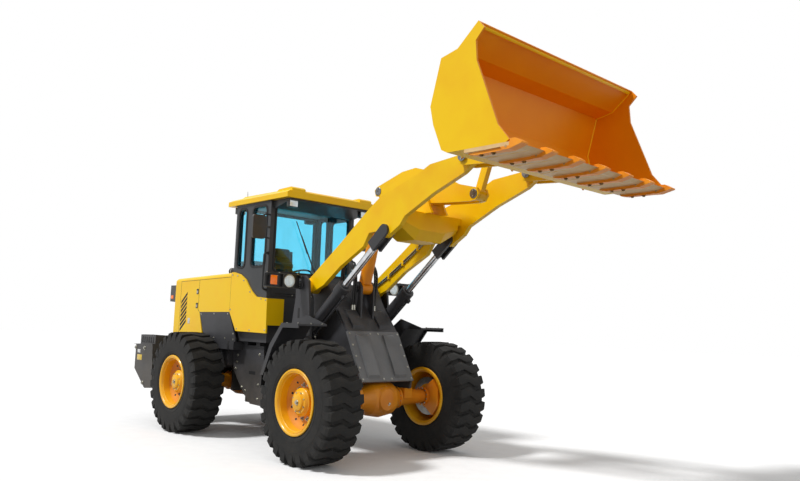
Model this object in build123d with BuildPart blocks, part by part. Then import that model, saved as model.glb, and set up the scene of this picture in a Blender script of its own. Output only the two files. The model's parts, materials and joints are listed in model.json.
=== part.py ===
"""Articulated wheel loader of the three-tonne class, in millimetres.

+X is forward, +Y is the machine's left, +Z is up, and the ground is z = 0.
Stations along the machine are measured from the articulation hinge, which stands
halfway between the axles. pivot_x puts that hinge in the row's frame, whose origin
is on the ground below the middle of the machine's length.
"""

from build123d import *

import os
from math import cos, hypot, pi

os.makedirs("parts", exist_ok=True)

# ---------------------------------------------------------------- driving sizes
# overall
wheelbase = 2850
track = 1900
front_reach = 4460  # articulation to the tooth tips
rear_reach = 2940  # articulation to the counterweight's back
pivot_x = -(front_reach - rear_reach) / 2

# wheels
tyre_r = 665  # over the lugs
tyre_w = 445
lug_h = 30
lugs = 26
lug_t = 96  # length of a lug along the tread
lug_half = 214  # from the middle to its bevelled end
lug_bend = 55  # places of its two bends
lug_kink = 27
lug_slope = 34  # how far its shoulders lean in
lug_root = 500  # radius below the carcass from which it rises
bead_r = 320
flange_r = 352
rim_w = 400
hub_r = 150
disc_t = 20
fit = 0.3  # gap between round pieces that seat on each other

# working arms
arm_y = 500  # middle of each arm
arm_t = 60
side_gap = 5  # each side of a pivot
boom_pin = (710, 1950)
bucket_pin = (3240, 3160)
lift_base = (607, 1300)
lift_eye = (2070, 2530)
tilt_base = (1120, 1950)
tilt_eye = (1413, 3095)
crank_pin = (2150, 2990)
link_low = (2930, 2905)
link_top = (3140, 3490)
pin_r = 35
link_pin_r = 45

# cylinders
lift_barrel_r = 70
lift_rod_r = 40
lift_barrel_l = 1000  # base pin to gland face
lift_rod_l = 1170  # eye to piston
lift_fork = 265  # eye to the web of the fork
tilt_barrel_r = 75
tilt_rod_r = 40
tilt_barrel_l = 730
tilt_rod_l = 700
barrel_wall = 12
gland_l = 60
gland_block = 130
rod_gap = 0.5

# towing jaw
tow_pin_x = -2865
tow_r = 22  # bore for the towing pin
tow_low = 795  # underside of the lower lip
tow_half = 130

# steering cylinders
steer_z = 880
steer_base = (-470, 240)  # station and distance from the middle
steer_eye = (215, 200)
steer_barrel_l = 440
steer_rod_l = 483
steer_eye_h = 44  # half height of the rod's eye
steer_base_h = 30

# frames
frame_t = 30
pad_h = 115  # axle centre to the underside of the front frame
trunnion_r = 100
pad_z = tyre_r + pad_h
tower_y = 618  # middle of the outer tower plates
front_in_y = 2 * arm_y - tower_y  # middle of the inner plates of the front frame
rear_plate_y = 400
hinge_plate_y = 545

# bucket
bucket_w = 2500
shell_t = 16
cheek_t = 22
teeth = 7

# hood and cab
hood_low = 1290
hood_half = 700
skin = 20
platform_low = 1240
cab_front = 30
cab_rear = -810
cab_half = 680
cab_low = 1430
cab_top = 3050
wall_t = 50
glass_t = 6
door_hinges = (1750, 2220, 2800)  # heights between the two leaves of each hinge
door_axis = (-500, 695)

front_axle = wheelbase / 2
rear_axle = -wheelbase / 2


# ---------------------------------------------------------------- small helpers
def side(y):
    """Upright plane along the machine, stations from the hinge, heights from the ground."""
    return Plane(origin=(pivot_x, y, 0), x_dir=(1, 0, 0), z_dir=(0, -1, 0))


def outline(y, points):
    """Face with straight sides on the side plane at y."""
    with BuildSketch(side(y)) as face:
        with BuildLine():
            Polyline(*points, close=True)
        make_face()
    return face.sketch


def disc(y, centre, r):
    """Round face on the side plane at y."""
    with BuildSketch(side(y)) as face:
        with Locations(centre):
            Circle(r)
    return face.sketch


def along(start, end, y):
    """Plane square to the line from start to end, centred on start."""
    direction = (end[0] - start[0], 0, end[1] - start[1])
    return Plane(origin=(pivot_x + start[0], y, start[1]), x_dir=(0, 1, 0), z_dir=direction)


def span(start, end):
    """Distance between two points of the side plane."""
    return hypot(end[0] - start[0], end[1] - start[1])


def level(z):
    """Level plane at a height, stations from the hinge."""
    return Plane(origin=(pivot_x, 0, z), x_dir=(1, 0, 0), z_dir=(0, 0, 1))


# ---------------------------------------------------------------- wheels
# name, station of the axle, side of the machine
wheels = (
    ("front_left", front_axle, 1),
    ("front_right", front_axle, -1),
    ("rear_left", rear_axle, 1),
    ("rear_right", rear_axle, -1),
)
carcass_r = tyre_r - lug_h
half_w = tyre_w / 2
bead_half = rim_w / 2 - fit

band_half = half_w - 36  # from the middle of the tread to the shoulder
wall_r = 470  # where the shoulder runs into the sidewall

with BuildPart() as tyre_form:
    # one flat under each lug, with the shoulders as bevels of the flats
    with BuildSketch(Plane.XZ):
        RegularPolygon(carcass_r, lugs)
    extrude(amount=half_w, both=True)
    ends = faces().sort_by(Axis.Y)
    for wall in (ends[0], ends[-1]):
        chamfer(
            wall.edges(),
            length=(carcass_r - wall_r) * cos(pi / lugs),
            length2=half_w - band_half,
            reference=wall,
        )
    with BuildSketch(Plane.XZ):
        RegularPolygon(bead_r, lugs, major_radius=False)
    extrude(amount=tyre_w, both=True, mode=Mode.SUBTRACT)
    # sidewalls fall back towards the rim
    for hand in (-1, 1):
        for across, r in ((half_w, wall_r), (bead_half, flange_r + 6)):
            with BuildSketch(Plane(origin=(0, hand * across, 0), x_dir=(1, 0, 0), z_dir=(0, 1, 0))):
                RegularPolygon(r, lugs)
        loft(ruled=True, mode=Mode.SUBTRACT)

# one bar of the tread: a zigzag across it, bevelled at the shoulders
with BuildPart() as lug:
    with BuildSketch(Plane(origin=(0, 0, lug_root), x_dir=(0, 1, 0), z_dir=(0, 0, 1))):
        with BuildLine():
            Polyline(
                (-lug_half, lug_kink / 3 - lug_t / 2),
                (-lug_bend, -lug_kink - lug_t / 2),
                (lug_bend, lug_kink - lug_t / 2),
                (lug_half, -lug_kink / 3 - lug_t / 2),
                (lug_half, -lug_kink / 3 + lug_t / 2),
                (lug_bend, lug_kink + lug_t / 2),
                (-lug_bend, -lug_kink + lug_t / 2),
                (-lug_half, lug_kink / 3 + lug_t / 2),
                close=True,
            )
        make_face()
    extrude(amount=tyre_r - lug_root)
    with BuildSketch(Plane.YZ):
        with BuildLine():
            Polyline(
                (-lug_half, lug_root),
                (-lug_half + lug_slope, tyre_r),
                (lug_half - lug_slope, tyre_r),
                (lug_half, lug_root),
                close=True,
            )
        make_face()
    extrude(amount=200, both=True, mode=Mode.INTERSECT)

with BuildPart() as tread:
    add(tyre_form.part)
    add([lug.part.rotate(Axis.Y, n * 360 / lugs) for n in range(lugs)])

# distance from the middle of the wheel and radius: brake disc, hub, dished disc, gutter and flanges
rim_out = rim_w / 2
rim_profile = (
    (-120, 0),
    (-120, 230),
    (-104, 230),
    (-104, hub_r),
    (30, hub_r),
    (30, hub_r + 60),
    (80, bead_r - 45),
    (80, bead_r - 22),
    (-rim_out, bead_r - 22),
    (-rim_out - 20, flange_r - 24),
    (-rim_out - 20, flange_r),
    (-rim_out, flange_r),
    (-rim_out, bead_r - fit),
    (rim_out, bead_r - fit),
    (rim_out, flange_r),
    (rim_out + 20, flange_r),
    (rim_out + 20, flange_r - 24),
    (rim_out + 8, bead_r - 14),
    (rim_out - 40, bead_r - 22),
    (80 + disc_t, bead_r - 30),
    (30 + disc_t, hub_r + 60),
    (30 + disc_t, hub_r),
    (118, hub_r),
    (118, hub_r - 12),
    (150, hub_r - 30),
    (150, hub_r - 62),
    (172, hub_r - 70),
    (172, 0),
)
with BuildPart() as rim_form:
    with BuildSketch(Plane.XY):
        with BuildLine():
            Polyline(*[(r, across) for across, r in rim_profile], close=True)
        make_face()
    revolve(axis=Axis.Y)

for wheel, station, hand in wheels:
    hub = (pivot_x + station, hand * track / 2, tyre_r)
    with BuildPart() as tyre:
        add(tread.part.moved(Location(hub)))
    tyre.part.label = f"tyre_{wheel}"
    export_step(tyre.part, f"parts/tyre_{wheel}.step")

    with BuildPart() as rim:
        add(rim_form.part.moved(Location(hub, (0, 0, 90 - hand * 90))))
    rim.part.label = f"rim_{wheel}"
    export_step(rim.part, f"parts/rim_{wheel}.step")

# ---------------------------------------------------------------- axles
brake_gap = 5  # between caliper and disc
axle_end = track / 2 - 120 - fit
# name, station, direction of the pinion
for name, station, toward in (("front_axle", front_axle, -1), ("rear_axle", rear_axle, 1)):
    hub = (pivot_x + station, 0, tyre_r)
    with BuildPart() as axle:
        with BuildSketch(Plane(origin=hub, x_dir=(1, 0, 0), z_dir=(0, 0, 1))):
            with BuildLine():
                Polyline(
                    (0, -axle_end),
                    (95, -axle_end),
                    (95, -axle_end + 60),
                    (80, -axle_end + 90),
                    (105, -300),
                    (190, -160),
                    (215, 0),
                    (190, 160),
                    (105, 300),
                    (80, axle_end - 90),
                    (95, axle_end - 60),
                    (95, axle_end),
                    (0, axle_end),
                    close=True,
                )
            make_face()
        revolve(axis=Axis(hub, (0, 1, 0)))
        with BuildSketch(Plane(origin=hub, x_dir=(0, 1, 0), z_dir=(toward, 0, 0))):
            Circle(100)
        extrude(amount=330)
        # brake calipers in front of the tube's ends
        for end in (-1, 1):
            with BuildSketch(Plane(origin=(hub[0], end * (axle_end - brake_gap), tyre_r), x_dir=(1, 0, 0), z_dir=(0, -end, 0))):
                with BuildLine():
                    Polyline((40, -120), (170, -215), (262, -95), (262, 95), (170, 215), (40, 120), close=True)
                make_face()
            extrude(amount=75)
        if toward < 0:
            # pads that bolt up to the frame plates
            with BuildSketch(level(tyre_r)):
                with Locations((station, front_in_y), (station, -front_in_y)):
                    Rectangle(260, 120)
            extrude(amount=pad_h)
        else:
            # trunnion behind, on the axis of the pinion
            with BuildSketch(Plane(origin=hub, x_dir=(0, 1, 0), z_dir=(-1, 0, 0))):
                Circle(trunnion_r)
            extrude(amount=330)
    axle.part.label = name
    export_step(axle.part, f"parts/{name}.step")

# ---------------------------------------------------------------- front frame
channel_y = 205  # middle of the two raised channels on the slopes
channel_half = 85
with BuildPart() as front_frame:
    for y in (-front_in_y, front_in_y):
        extrude(
            outline(
                y,
                (
                    (150, pad_z),
                    (1585, pad_z),
                    (1600, 860),
                    (1300, 1420),
                    (1060, 1700),
                    (900, 1990),
                    (790, 2060),
                    (640, 2060),
                    (600, 1900),
                    (665, 1780),
                    (665, 1450),
                    (530, 1380),
                    (530, 1180),
                    (150, 1120),
                ),
            ),
            amount=frame_t / 2,
            both=True,
        )
    for y in (-tower_y, tower_y):
        extrude(
            outline(
                y,
                (
                    (500, 1100),
                    (950, 1100),
                    (900, 1600),
                    (850, 2000),
                    (770, 2070),
                    (650, 2070),
                    (595, 1990),
                    (600, 1800),
                    (530, 1400),
                ),
            ),
            amount=frame_t / 2,
            both=True,
        )
    # shelf that ties the tower plates to the inner plates, short of the lowered lift cylinders
    with BuildSketch(level(1130)):
        with Locations((635, (front_in_y + tower_y) / 2), (635, -(front_in_y + tower_y) / 2)):
            Rectangle(270, tower_y - front_in_y + frame_t)
    extrude(amount=-frame_t)
    # floor and hinge plates between the inner plates
    with BuildSketch(level(pad_z)):
        with Locations((700, 0)):
            Rectangle(900, 2 * front_in_y)
    extrude(amount=25)
    # upper inclined plate with the lugs of the tilt cylinder
    extrude(
        outline(0, ((1300, 1420), (1322, 1432), (1084, 1712), (900, 1990), (880, 1975), (1060, 1700))),
        amount=front_in_y,
        both=True,
    )
    for y in (-channel_y, channel_y):
        extrude(outline(y, ((1298, 1452), (1293, 1500), (1146, 1673), (1099, 1686))), amount=channel_half, both=True)
    for z in (520, 1090):
        with BuildSketch(level(z)):
            with Locations((190, 0)):
                Rectangle(280, 2 * front_in_y if z > 800 else 630)
            Circle(110)
            with Locations((60, 0)):
                Rectangle(120, 220)
            Circle(45, mode=Mode.SUBTRACT)
        extrude(amount=40)
    for z in (520 - 106, 1090 - 106):
        with BuildSketch(level(z)):
            with Locations((190, 0)):
                Rectangle(280, 630)
            Circle(110)
            with Locations((60, 0)):
                Rectangle(120, 220)
            Circle(45, mode=Mode.SUBTRACT)
        extrude(amount=40)
    # pins of the arms and cylinders
    for y in (-arm_y, arm_y):
        for pin in (boom_pin, lift_base):
            extrude(disc(y, pin, pin_r), amount=tower_y - arm_y + 30, both=True)
    extrude(disc(0, tilt_base, pin_r), amount=125, both=True)
    # lugs above and below the eyes of the steering rods
    for hand in (-1, 1):
        for z in (steer_z + steer_eye_h + side_gap + 10, steer_z - steer_eye_h - side_gap - 10):
            with BuildSketch(level(z)):
                with Locations((steer_eye[0] + 20, hand * (steer_eye[1] + 20))):
                    Rectangle(150, 130)
            extrude(amount=10, both=True)
    # upright plates that carry the lower hinge plates
    for y in (-300, 300):
        extrude(outline(y, ((250, 414), (330, 414), (330, 1130), (250, 1130))), amount=15, both=True)
    with BuildSketch(Plane(origin=(pivot_x + 300, 0, 0), x_dir=(0, 1, 0), z_dir=(1, 0, 0))):
        with Locations((0, 740)):
            Rectangle(2 * front_in_y, 652)
        with Locations((0, 720)):
            Rectangle(260, 260, mode=Mode.SUBTRACT)
    extrude(amount=30)
    # lugs for the tilt cylinder
    for y in (-95, 95):
        extrude(
            outline(y, ((1010, 1790), (1200, 1560), (1200, 1950), (1150, 2025), (1090, 2025), (1010, 1900))),
            amount=12.5,
            both=True,
        )
front_frame.part.label = "front_frame"
export_step(front_frame.part, "parts/front_frame.step")

with BuildPart() as front_cover:
    extrude(
        outline(
            0,
            ((1600, 862), (1625, 875), (1322, 1432), (1300, 1420)),
        ),
        amount=front_in_y + frame_t / 2,
        both=True,
    )
    # two pressed channels down the slope
    for y in (-channel_y, channel_y):
        extrude(outline(y, ((1606, 899), (1611, 947), (1375, 1381), (1332, 1403))), amount=channel_half, both=True)
front_cover.part.label = "front_cover"
export_step(front_cover.part, "parts/front_cover.step")

fender_in = track / 2 - 215
fender_out = 1130
with BuildPart() as front_fenders:
    for hand in (-1, 1):
        extrude(
            outline(
                hand * (fender_in + fender_out) / 2,
                (
                    (700, 905),
                    (735, 905),
                    (885, 1235),
                    (1085, 1475),
                    (1380, 1475),
                    (1380, 1495),
                    (1075, 1495),
                    (860, 1250),
                ),
            ),
            amount=(fender_out - fender_in) / 2,
            both=True,
        )
        # rolled outer edge
        extrude(
            outline(
                hand * (fender_out - 9),
                (
                    (690, 905),
                    (750, 905),
                    (903, 1215),
                    (1097, 1448),
                    (1388, 1448),
                    (1388, 1500),
                    (1072, 1500),
                    (855, 1258),
                ),
            ),
            amount=9,
            both=True,
        )
        # skirt beside the tower, and its bracket
        extrude(
            outline(
                hand * (fender_in + 8),
                ((700, 905), (735, 905), (885, 1235), (1085, 1475), (1380, 1475), (1380, 1495), (1000, 1600), (850, 1500)),
            ),
            amount=8,
            both=True,
        )
        with BuildSketch(level(1330)):
            with Locations((890, hand * (tower_y + frame_t / 2 + fender_in + 20) / 2)):
                Rectangle(120, fender_in + 20 - tower_y - frame_t / 2)
        extrude(amount=30)
front_fenders.part.label = "front_fenders"
export_step(front_fenders.part, "parts/front_fenders.step")

# ---------------------------------------------------------------- arms
arm_hub = tower_y - frame_t / 2 - arm_y - side_gap
ear_in = arm_y - 65  # faces of the bucket's ears beside the arm tip
bore_r = pin_r + fit
with BuildPart() as boom:
    for y in (-arm_y, arm_y):
        extrude(
            outline(
                y,
                (
                    (640, 2010),
                    (727, 2039),
                    (1289, 2429),
                    (1768, 2779),
                    (1972, 2910),
                    (2538, 3082),
                    (2721, 3165),
                    (3112, 3201),
                    (3215, 3255),
                    (3290, 3240),
                    (3340, 3150),
                    (3290, 3080),
                    (3192, 3015),
                    (2774, 2858),
                    (2368, 2663),
                    (2290, 2570),
                    (2120, 2470),
                    (2010, 2530),
                    (1800, 2520),
                    (1700, 2372),
                    (1308, 2168),
                    (1001, 1954),
                    (798, 1877),
                    (650, 1880),
                ),
            ),
            amount=arm_t / 2,
            both=True,
        )
        extrude(disc(y, lift_eye, 80), amount=arm_t / 2, both=True)
        extrude(disc(y, boom_pin, 90), amount=arm_hub, both=True)
        extrude(disc(y, bucket_pin, 80), amount=arm_y - ear_in - side_gap, both=True)
    # cross box between the arms, its belly clear of the lift forks
    extrude(outline(0, ((1850, 2680), (2250, 2680), (2250, 2760), (1850, 2760))), amount=arm_y, both=True)
    tube_end = ((1850, 2620), (1900, 2575), (2200, 2575), (2250, 2630), (2250, 2760), (1850, 2760))
    tube_middle = ((1830, 2540), (1900, 2450), (2190, 2450), (2260, 2560), (2250, 2760), (1850, 2760))
    tube_half = arm_y - 75
    loft(
        [
            outline(-tube_half, tube_end),
            outline(-200, tube_middle),
            outline(200, tube_middle),
            outline(tube_half, tube_end),
        ],
        ruled=True,
    )
    # column that carries the crank
    for y in (-115, 115):
        extrude(
            outline(y, ((1950, 2750), (2370, 2750), (2340, 2800), (2235, 3030), (2150, 3070), (2065, 3030), (2030, 2850))),
            amount=15,
            both=True,
        )
    for pin in (boom_pin, bucket_pin, crank_pin):
        extrude(disc(0, pin, bore_r), amount=2 * arm_y, both=True, mode=Mode.SUBTRACT)
boom.part.label = "boom"
export_step(boom.part, "parts/boom.step")

crank_y = 70
crank_t = 30
eye_half = crank_y - crank_t / 2 - side_gap
with BuildPart() as crank_pin_bar:
    extrude(disc(0, crank_pin, pin_r), amount=150, both=True)
crank_pin_bar.part.label = "crank_pin"
export_step(crank_pin_bar.part, "parts/crank_pin.step")

with BuildPart() as bellcrank:
    for y in (-crank_y, crank_y):
        extrude(
            outline(
                y,
                (
                    (1345, 3110),
                    (1389, 3150),
                    (1823, 3279),
                    (2045, 3298),
                    (2250, 3240),
                    (2600, 3060),
                    (2975, 2965),
                    (3000, 2900),
                    (2960, 2840),
                    (2880, 2830),
                    (2500, 2850),
                    (2250, 2870),
                    (2100, 2880),
                    (1800, 2990),
                    (1450, 3025),
                    (1370, 3040),
                ),
            ),
            amount=crank_t / 2,
            both=True,
        )
    extrude(disc(0, crank_pin, 75), amount=95, both=True)
    extrude(disc(0, crank_pin, bore_r), amount=200, both=True, mode=Mode.SUBTRACT)
bellcrank.part.label = "bellcrank"
export_step(bellcrank.part, "parts/bellcrank.step")

with BuildPart() as tilt_link:
    with BuildSketch(along(link_low, link_top, 0)):
        Rectangle(2 * eye_half - 36, 84)
    extrude(amount=span(link_low, link_top))
    for pin in (link_low, link_top):
        extrude(disc(0, pin, 65), amount=eye_half, both=True)
    extrude(disc(0, link_top, link_pin_r + fit), amount=eye_half + 1, both=True, mode=Mode.SUBTRACT)
tilt_link.part.label = "tilt_link"
export_step(tilt_link.part, "parts/tilt_link.step")

link_ear_y = 70
with BuildPart() as link_pin:
    extrude(disc(0, link_top, link_pin_r), amount=link_ear_y + 43, both=True)
    # heads outside the ears
    for y in (-link_ear_y - 28, link_ear_y + 28):
        extrude(disc(y, link_top, 64), amount=15, both=True)
link_pin.part.label = "link_pin"
export_step(link_pin.part, "parts/link_pin.step")

with BuildPart() as bucket_pins:
    for y in (-arm_y, arm_y):
        extrude(disc(y, bucket_pin, pin_r), amount=115, both=True)
bucket_pins.part.label = "bucket_pins"
export_step(bucket_pins.part, "parts/bucket_pins.step")

# ---------------------------------------------------------------- bucket
# outside of the shell from the blade, round the heel and back, to the spill guard
shell = (
    (4300, 3000),
    (3650, 3010),
    (3581, 3044),
    (3472, 3289),
    (3430, 3462),
    (3548, 3884),
    (3744, 3921),
    (3980, 4110),
)
with BuildPart() as bucket:
    with BuildSketch(side(0)):
        with BuildLine():
            wall = Polyline(*shell)
            offset(amount=shell_t, side=Side.RIGHT)
        make_face()
    extrude(amount=bucket_w / 2 - 1, both=True)
    for y in (-bucket_w / 2 + cheek_t / 2, bucket_w / 2 - cheek_t / 2):
        extrude(
            outline(y, (*shell[1:], (4046, 4034), (3953, 3942), (3969, 3761), (4214, 3161), (4334, 3019), (4300, 3000))),
            amount=cheek_t / 2,
            both=True,
        )
    # ribs down the back
    for y in (-960, -250, 250, 960):
        extrude(
            outline(y, ((3592, 3050), (3482, 3289), (3440, 3462), (3555, 3880), (3520, 3865), (3398, 3470), (3440, 3275), (3565, 3025))),
            amount=10,
            both=True,
        )
    # ears beside the arm tips
    for hand in (-1, 1):
        for y in (ear_in - 15, 2 * arm_y - ear_in + 15):
            extrude(
                outline(hand * y, ((3592, 3050), (3482, 3289), (3440, 3462), (3455, 3520), (3400, 3480), (3180, 3230), (3180, 3090), (3240, 3075))),
                amount=15,
                both=True,
            )
    # ears beside the link
    for y in (-link_ear_y, link_ear_y):
        extrude(
            outline(y, ((3482, 3289), (3440, 3462), (3555, 3880), (3500, 3860), (3110, 3570), (3070, 3500), (3090, 3430), (3150, 3410))),
            amount=12.5,
            both=True,
        )
    for y in (-arm_y, arm_y):
        extrude(disc(y, bucket_pin, bore_r), amount=115, both=True, mode=Mode.SUBTRACT)
    extrude(disc(0, link_top, link_pin_r + fit), amount=link_ear_y + 25, both=True, mode=Mode.SUBTRACT)
bucket.part.label = "bucket"
export_step(bucket.part, "parts/bucket.step")

with BuildPart() as bucket_teeth:
    extrude(
        outline(0, ((3850, 2976), (4080, 2970), (4330, 2970), (4390, 2990), (4330, 2999.5), (4300, 2999.7), (3850, 3006.6))),
        amount=bucket_w / 2,
        both=True,
    )
    pitch = (bucket_w - 90) / (teeth - 1)
    for n in range(teeth):
        y = (n - (teeth - 1) / 2) * pitch
        extrude(
            outline(y, ((4240, 2971), (4260, 2942), (4330, 2940), (4460, 2972), (4460, 2984), (4395, 3022), (4345, 3024), (4338, 2999))),
            amount=45,
            both=True,
        )
        extrude(
            outline(y, ((3880, 2982), (3890, 2958), (3960, 2945), (4280, 2941), (4280, 2985))),
            amount=32,
            both=True,
        )
bucket_teeth.part.label = "bucket_teeth"
export_step(bucket_teeth.part, "parts/bucket_teeth.step")

# ---------------------------------------------------------------- hydraulic cylinders
# name, side, base pin, rod eye, barrel radius, rod radius, barrel length, rod length, half width of the base eye
cylinders = (
    ("lift", "left", arm_y, lift_base, lift_eye, lift_barrel_r, lift_rod_r, lift_barrel_l, lift_rod_l, 90),
    ("lift", "right", -arm_y, lift_base, lift_eye, lift_barrel_r, lift_rod_r, lift_barrel_l, lift_rod_l, 90),
    ("tilt", "", 0, tilt_base, tilt_eye, tilt_barrel_r, tilt_rod_r, tilt_barrel_l, tilt_rod_l, 77),
)
for job, hand, y, base, eye, barrel_r, rod_r, barrel_l, rod_l, base_half in cylinders:
    tag = f"{job}_{{}}_{hand}" if hand else f"{job}_{{}}"
    length = span(base, eye)
    inner_r = barrel_r - barrel_wall
    with BuildPart() as barrel:
        with BuildSketch(along(base, eye, y).offset(60)):
            Circle(barrel_r)
        extrude(amount=barrel_l - 60)
        extrude(disc(y, base, 75), amount=base_half, both=True)
        # thick gland, port blocks at both ends and the pipe between them
        with BuildSketch(along(base, eye, y).offset(barrel_l - gland_block)):
            Circle(barrel_r + 14)
        extrude(amount=gland_block - 12)
        below = -1 if job == "lift" else 1
        for start in (190, barrel_l - gland_block + 20):
            with BuildSketch(along(base, eye, y).offset(start)):
                with Locations((0, below * (barrel_r + 8))):
                    Rectangle(50, 72)
            extrude(amount=50)
        with BuildSketch(along(base, eye, y).offset(220)):
            with Locations((0, below * (barrel_r + 24))):
                Circle(11)
        extrude(amount=barrel_l - gland_block - 190)
        with BuildSketch(along(base, eye, y).offset(90)):
            Circle(inner_r)
        extrude(amount=barrel_l - gland_l - 90, mode=Mode.SUBTRACT)
        with BuildSketch(along(base, eye, y).offset(90)):
            Circle(rod_r + rod_gap)
        extrude(amount=barrel_l, mode=Mode.SUBTRACT)
        extrude(disc(y, base, bore_r), amount=base_half + 1, both=True, mode=Mode.SUBTRACT)
    barrel.part.label = tag.format("barrel")
    export_step(barrel.part, f"parts/{tag.format('barrel')}.step")

    with BuildPart() as rod:
        reach = lift_fork if job == "lift" else 0
        with BuildSketch(along(base, eye, y).offset(length - rod_l)):
            Circle(rod_r)
        extrude(amount=rod_l - reach)
        with BuildSketch(along(base, eye, y).offset(length - rod_l)):
            Circle(inner_r - 1)
        extrude(amount=50)
        if job == "lift":
            # fork that straddles the arm
            for cheek in (-50, 50):
                with BuildSketch(along(base, eye, y + cheek).offset(length - reach)):
                    Rectangle(30, 130)
                extrude(amount=reach)
                extrude(disc(y + cheek, eye, 65), amount=15, both=True)
            with BuildSketch(along(base, eye, y).offset(length - reach)):
                Rectangle(130, 60)
            extrude(amount=32)
        else:
            extrude(disc(y, eye, 65), amount=eye_half, both=True)
    rod.part.label = tag.format("rod")
    export_step(rod.part, f"parts/{tag.format('rod')}.step")

# ---------------------------------------------------------------- rear frame
with BuildPart() as rear_frame:
    rail_front = -450
    rail_rear = -2480
    for y in (-rear_plate_y, rear_plate_y):
        extrude(
            outline(
                y,
                (
                    (rail_front, 640),
                    (-800, 640),
                    (-1150, 850),
                    (-1700, 850),
                    (-2000, 700),
                    (rail_rear, 700),
                    (rail_rear, 1124),
                    (rail_front, 1124),
                ),
            ),
            amount=frame_t / 2,
            both=True,
        )
    for y in (-hinge_plate_y, hinge_plate_y):
        extrude(
            outline(
                y,
                ((-660, 1190), (-660, 1124 - fit), (-923, 1124 - fit), (-864, 834), (-572, 549), (-419, 445), (-130, 438), (-123, 804), (-160, 1190)),
            ),
            amount=10,
            both=True,
        )
    # hinge lugs between the front frame's plates
    for z in (459, 1029):
        with BuildSketch(level(z)):
            Circle(110)
            with BuildLine():
                Polyline((0, -110), (0, 110), (-330, 540), (-560, 540), (-560, -540), (-330, -540), close=True)
            make_face()
        extrude(amount=56)
    # hinge pins, fast in the rear lugs
    for z in (404, 974):
        with BuildSketch(level(z)):
            Circle(45 - fit)
        extrude(amount=166)
    # cross walls with the trunnion bearings of the rear axle
    for x, hole_r in ((rear_axle + 250, trunnion_r + fit), (rear_axle - 280, trunnion_r + fit)):
        with BuildSketch(Plane(origin=(pivot_x + x, 0, 0), x_dir=(0, 1, 0), z_dir=(1, 0, 0))):
            with Locations((0, 790)):
                Rectangle(2 * rear_plate_y, 480)
            with Locations((0, tyre_r)):
                Circle(hole_r, mode=Mode.SUBTRACT)
        extrude(amount=40)
    # front cross wall
    with BuildSketch(Plane(origin=(pivot_x - 560, 0, 0), x_dir=(0, 1, 0), z_dir=(1, 0, 0))):
        with Locations((0, 780)):
            Rectangle(2 * hinge_plate_y, 620)
        with Locations((0, 720)):
            Rectangle(360, 300, mode=Mode.SUBTRACT)
    extrude(amount=30)
    # lugs and pins at the bases of the steering cylinders
    for hand in (-1, 1):
        spot = (steer_base[0], hand * steer_base[1])
        for z in (steer_z + steer_base_h + 11, steer_z - steer_base_h - 11):
            with BuildSketch(level(z)):
                with Locations(spot):
                    Circle(45)
                with Locations((steer_base[0] - 35, spot[1])):
                    Rectangle(70, 90)
            extrude(amount=10, both=True)
        with BuildSketch(level(steer_z)):
            with Locations(spot):
                Circle(20)
        extrude(amount=steer_base_h + 25, both=True)
    # rear cross wall
    with BuildSketch(Plane(origin=(pivot_x + rail_rear, 0, 0), x_dir=(0, 1, 0), z_dir=(1, 0, 0))):
        with Locations((0, 880)):
            Rectangle(2 * rear_plate_y, 360)
    extrude(amount=30)
    # brackets that carry the hood
    for x in (-2370, -1580):
        for hand in (-1, 1):
            edge = rear_plate_y - frame_t / 2
            with BuildSketch(level(1100)):
                with Locations((x, hand * (edge + 560) / 2)):
                    Rectangle(50, 560 - edge)
            extrude(amount=hood_low - 1100 - fit)
            with BuildSketch(level(hood_low - fit)):
                with Locations((x, hand * (edge + hood_half - 2) / 2)):
                    Rectangle(50, hood_half - 2 - edge)
            extrude(amount=-50)
    # outriggers under the platform
    for x in (-600, -300):
        with BuildSketch(level(1100)):
            with Locations((x, 0)):
                Rectangle(90, 2 * hinge_plate_y + 20)
        extrude(amount=platform_low - 1100)
rear_frame.part.label = "rear_frame"
export_step(rear_frame.part, "parts/rear_frame.step")

with BuildPart() as counterweight:
    extrude(
        outline(
            0,
            ((-rear_reach, 1110), (-2916, 783), (-2500, 496), (rail_rear, 490), (rail_rear, 1130)),
        ),
        amount=1060,
        both=True,
    )
    for hand in (-1, 1):
        extrude(
            outline(hand * 880, ((rail_rear, 1130), (-2310, 1130), (-2240, 509), (rail_rear, 490))),
            amount=180,
            both=True,
        )
        # step box on top
        extrude(outline(hand * 900, ((-2850, 1110), (-2350, 1110), (-2350, 1250), (-2850, 1250))), amount=100, both=True)
        # bevelled corner
        with BuildSketch(level(400)):
            with BuildLine():
                Polyline(
                    (-rear_reach - 20, hand * 980),
                    (-rear_reach - 20, hand * 1080),
                    (-rear_reach + 90, hand * 1080),
                    close=True,
                )
            make_face()
        extrude(amount=705, mode=Mode.SUBTRACT)
    # towing jaw: a slot for the drawbar with a flat lower lip
    extrude(
        outline(0, ((-rear_reach - 20, 700), (tow_pin_x + 70, 700), (tow_pin_x + 70, tow_low), (-rear_reach - 20, tow_low))),
        amount=tow_half,
        both=True,
        mode=Mode.SUBTRACT,
    )
    extrude(
        outline(0, ((-rear_reach - 20, 875), (tow_pin_x + 90, 875), (tow_pin_x + 90, 955), (-rear_reach - 20, 955))),
        amount=tow_half,
        both=True,
        mode=Mode.SUBTRACT,
    )
    with BuildSketch(level(600)):
        with Locations((tow_pin_x, 0)):
            Circle(tow_r)
    extrude(amount=600, mode=Mode.SUBTRACT)
counterweight.part.label = "counterweight"
export_step(counterweight.part, "parts/counterweight.step")

# ---------------------------------------------------------------- power unit under the hood
with BuildPart() as engine:
    with BuildSketch(level(1030 + fit)):
        with Locations((-1690, 0)):
            Rectangle(900, 640)
    extrude(amount=850)
engine.part.label = "engine"
export_step(engine.part, "parts/engine.step")

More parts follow.
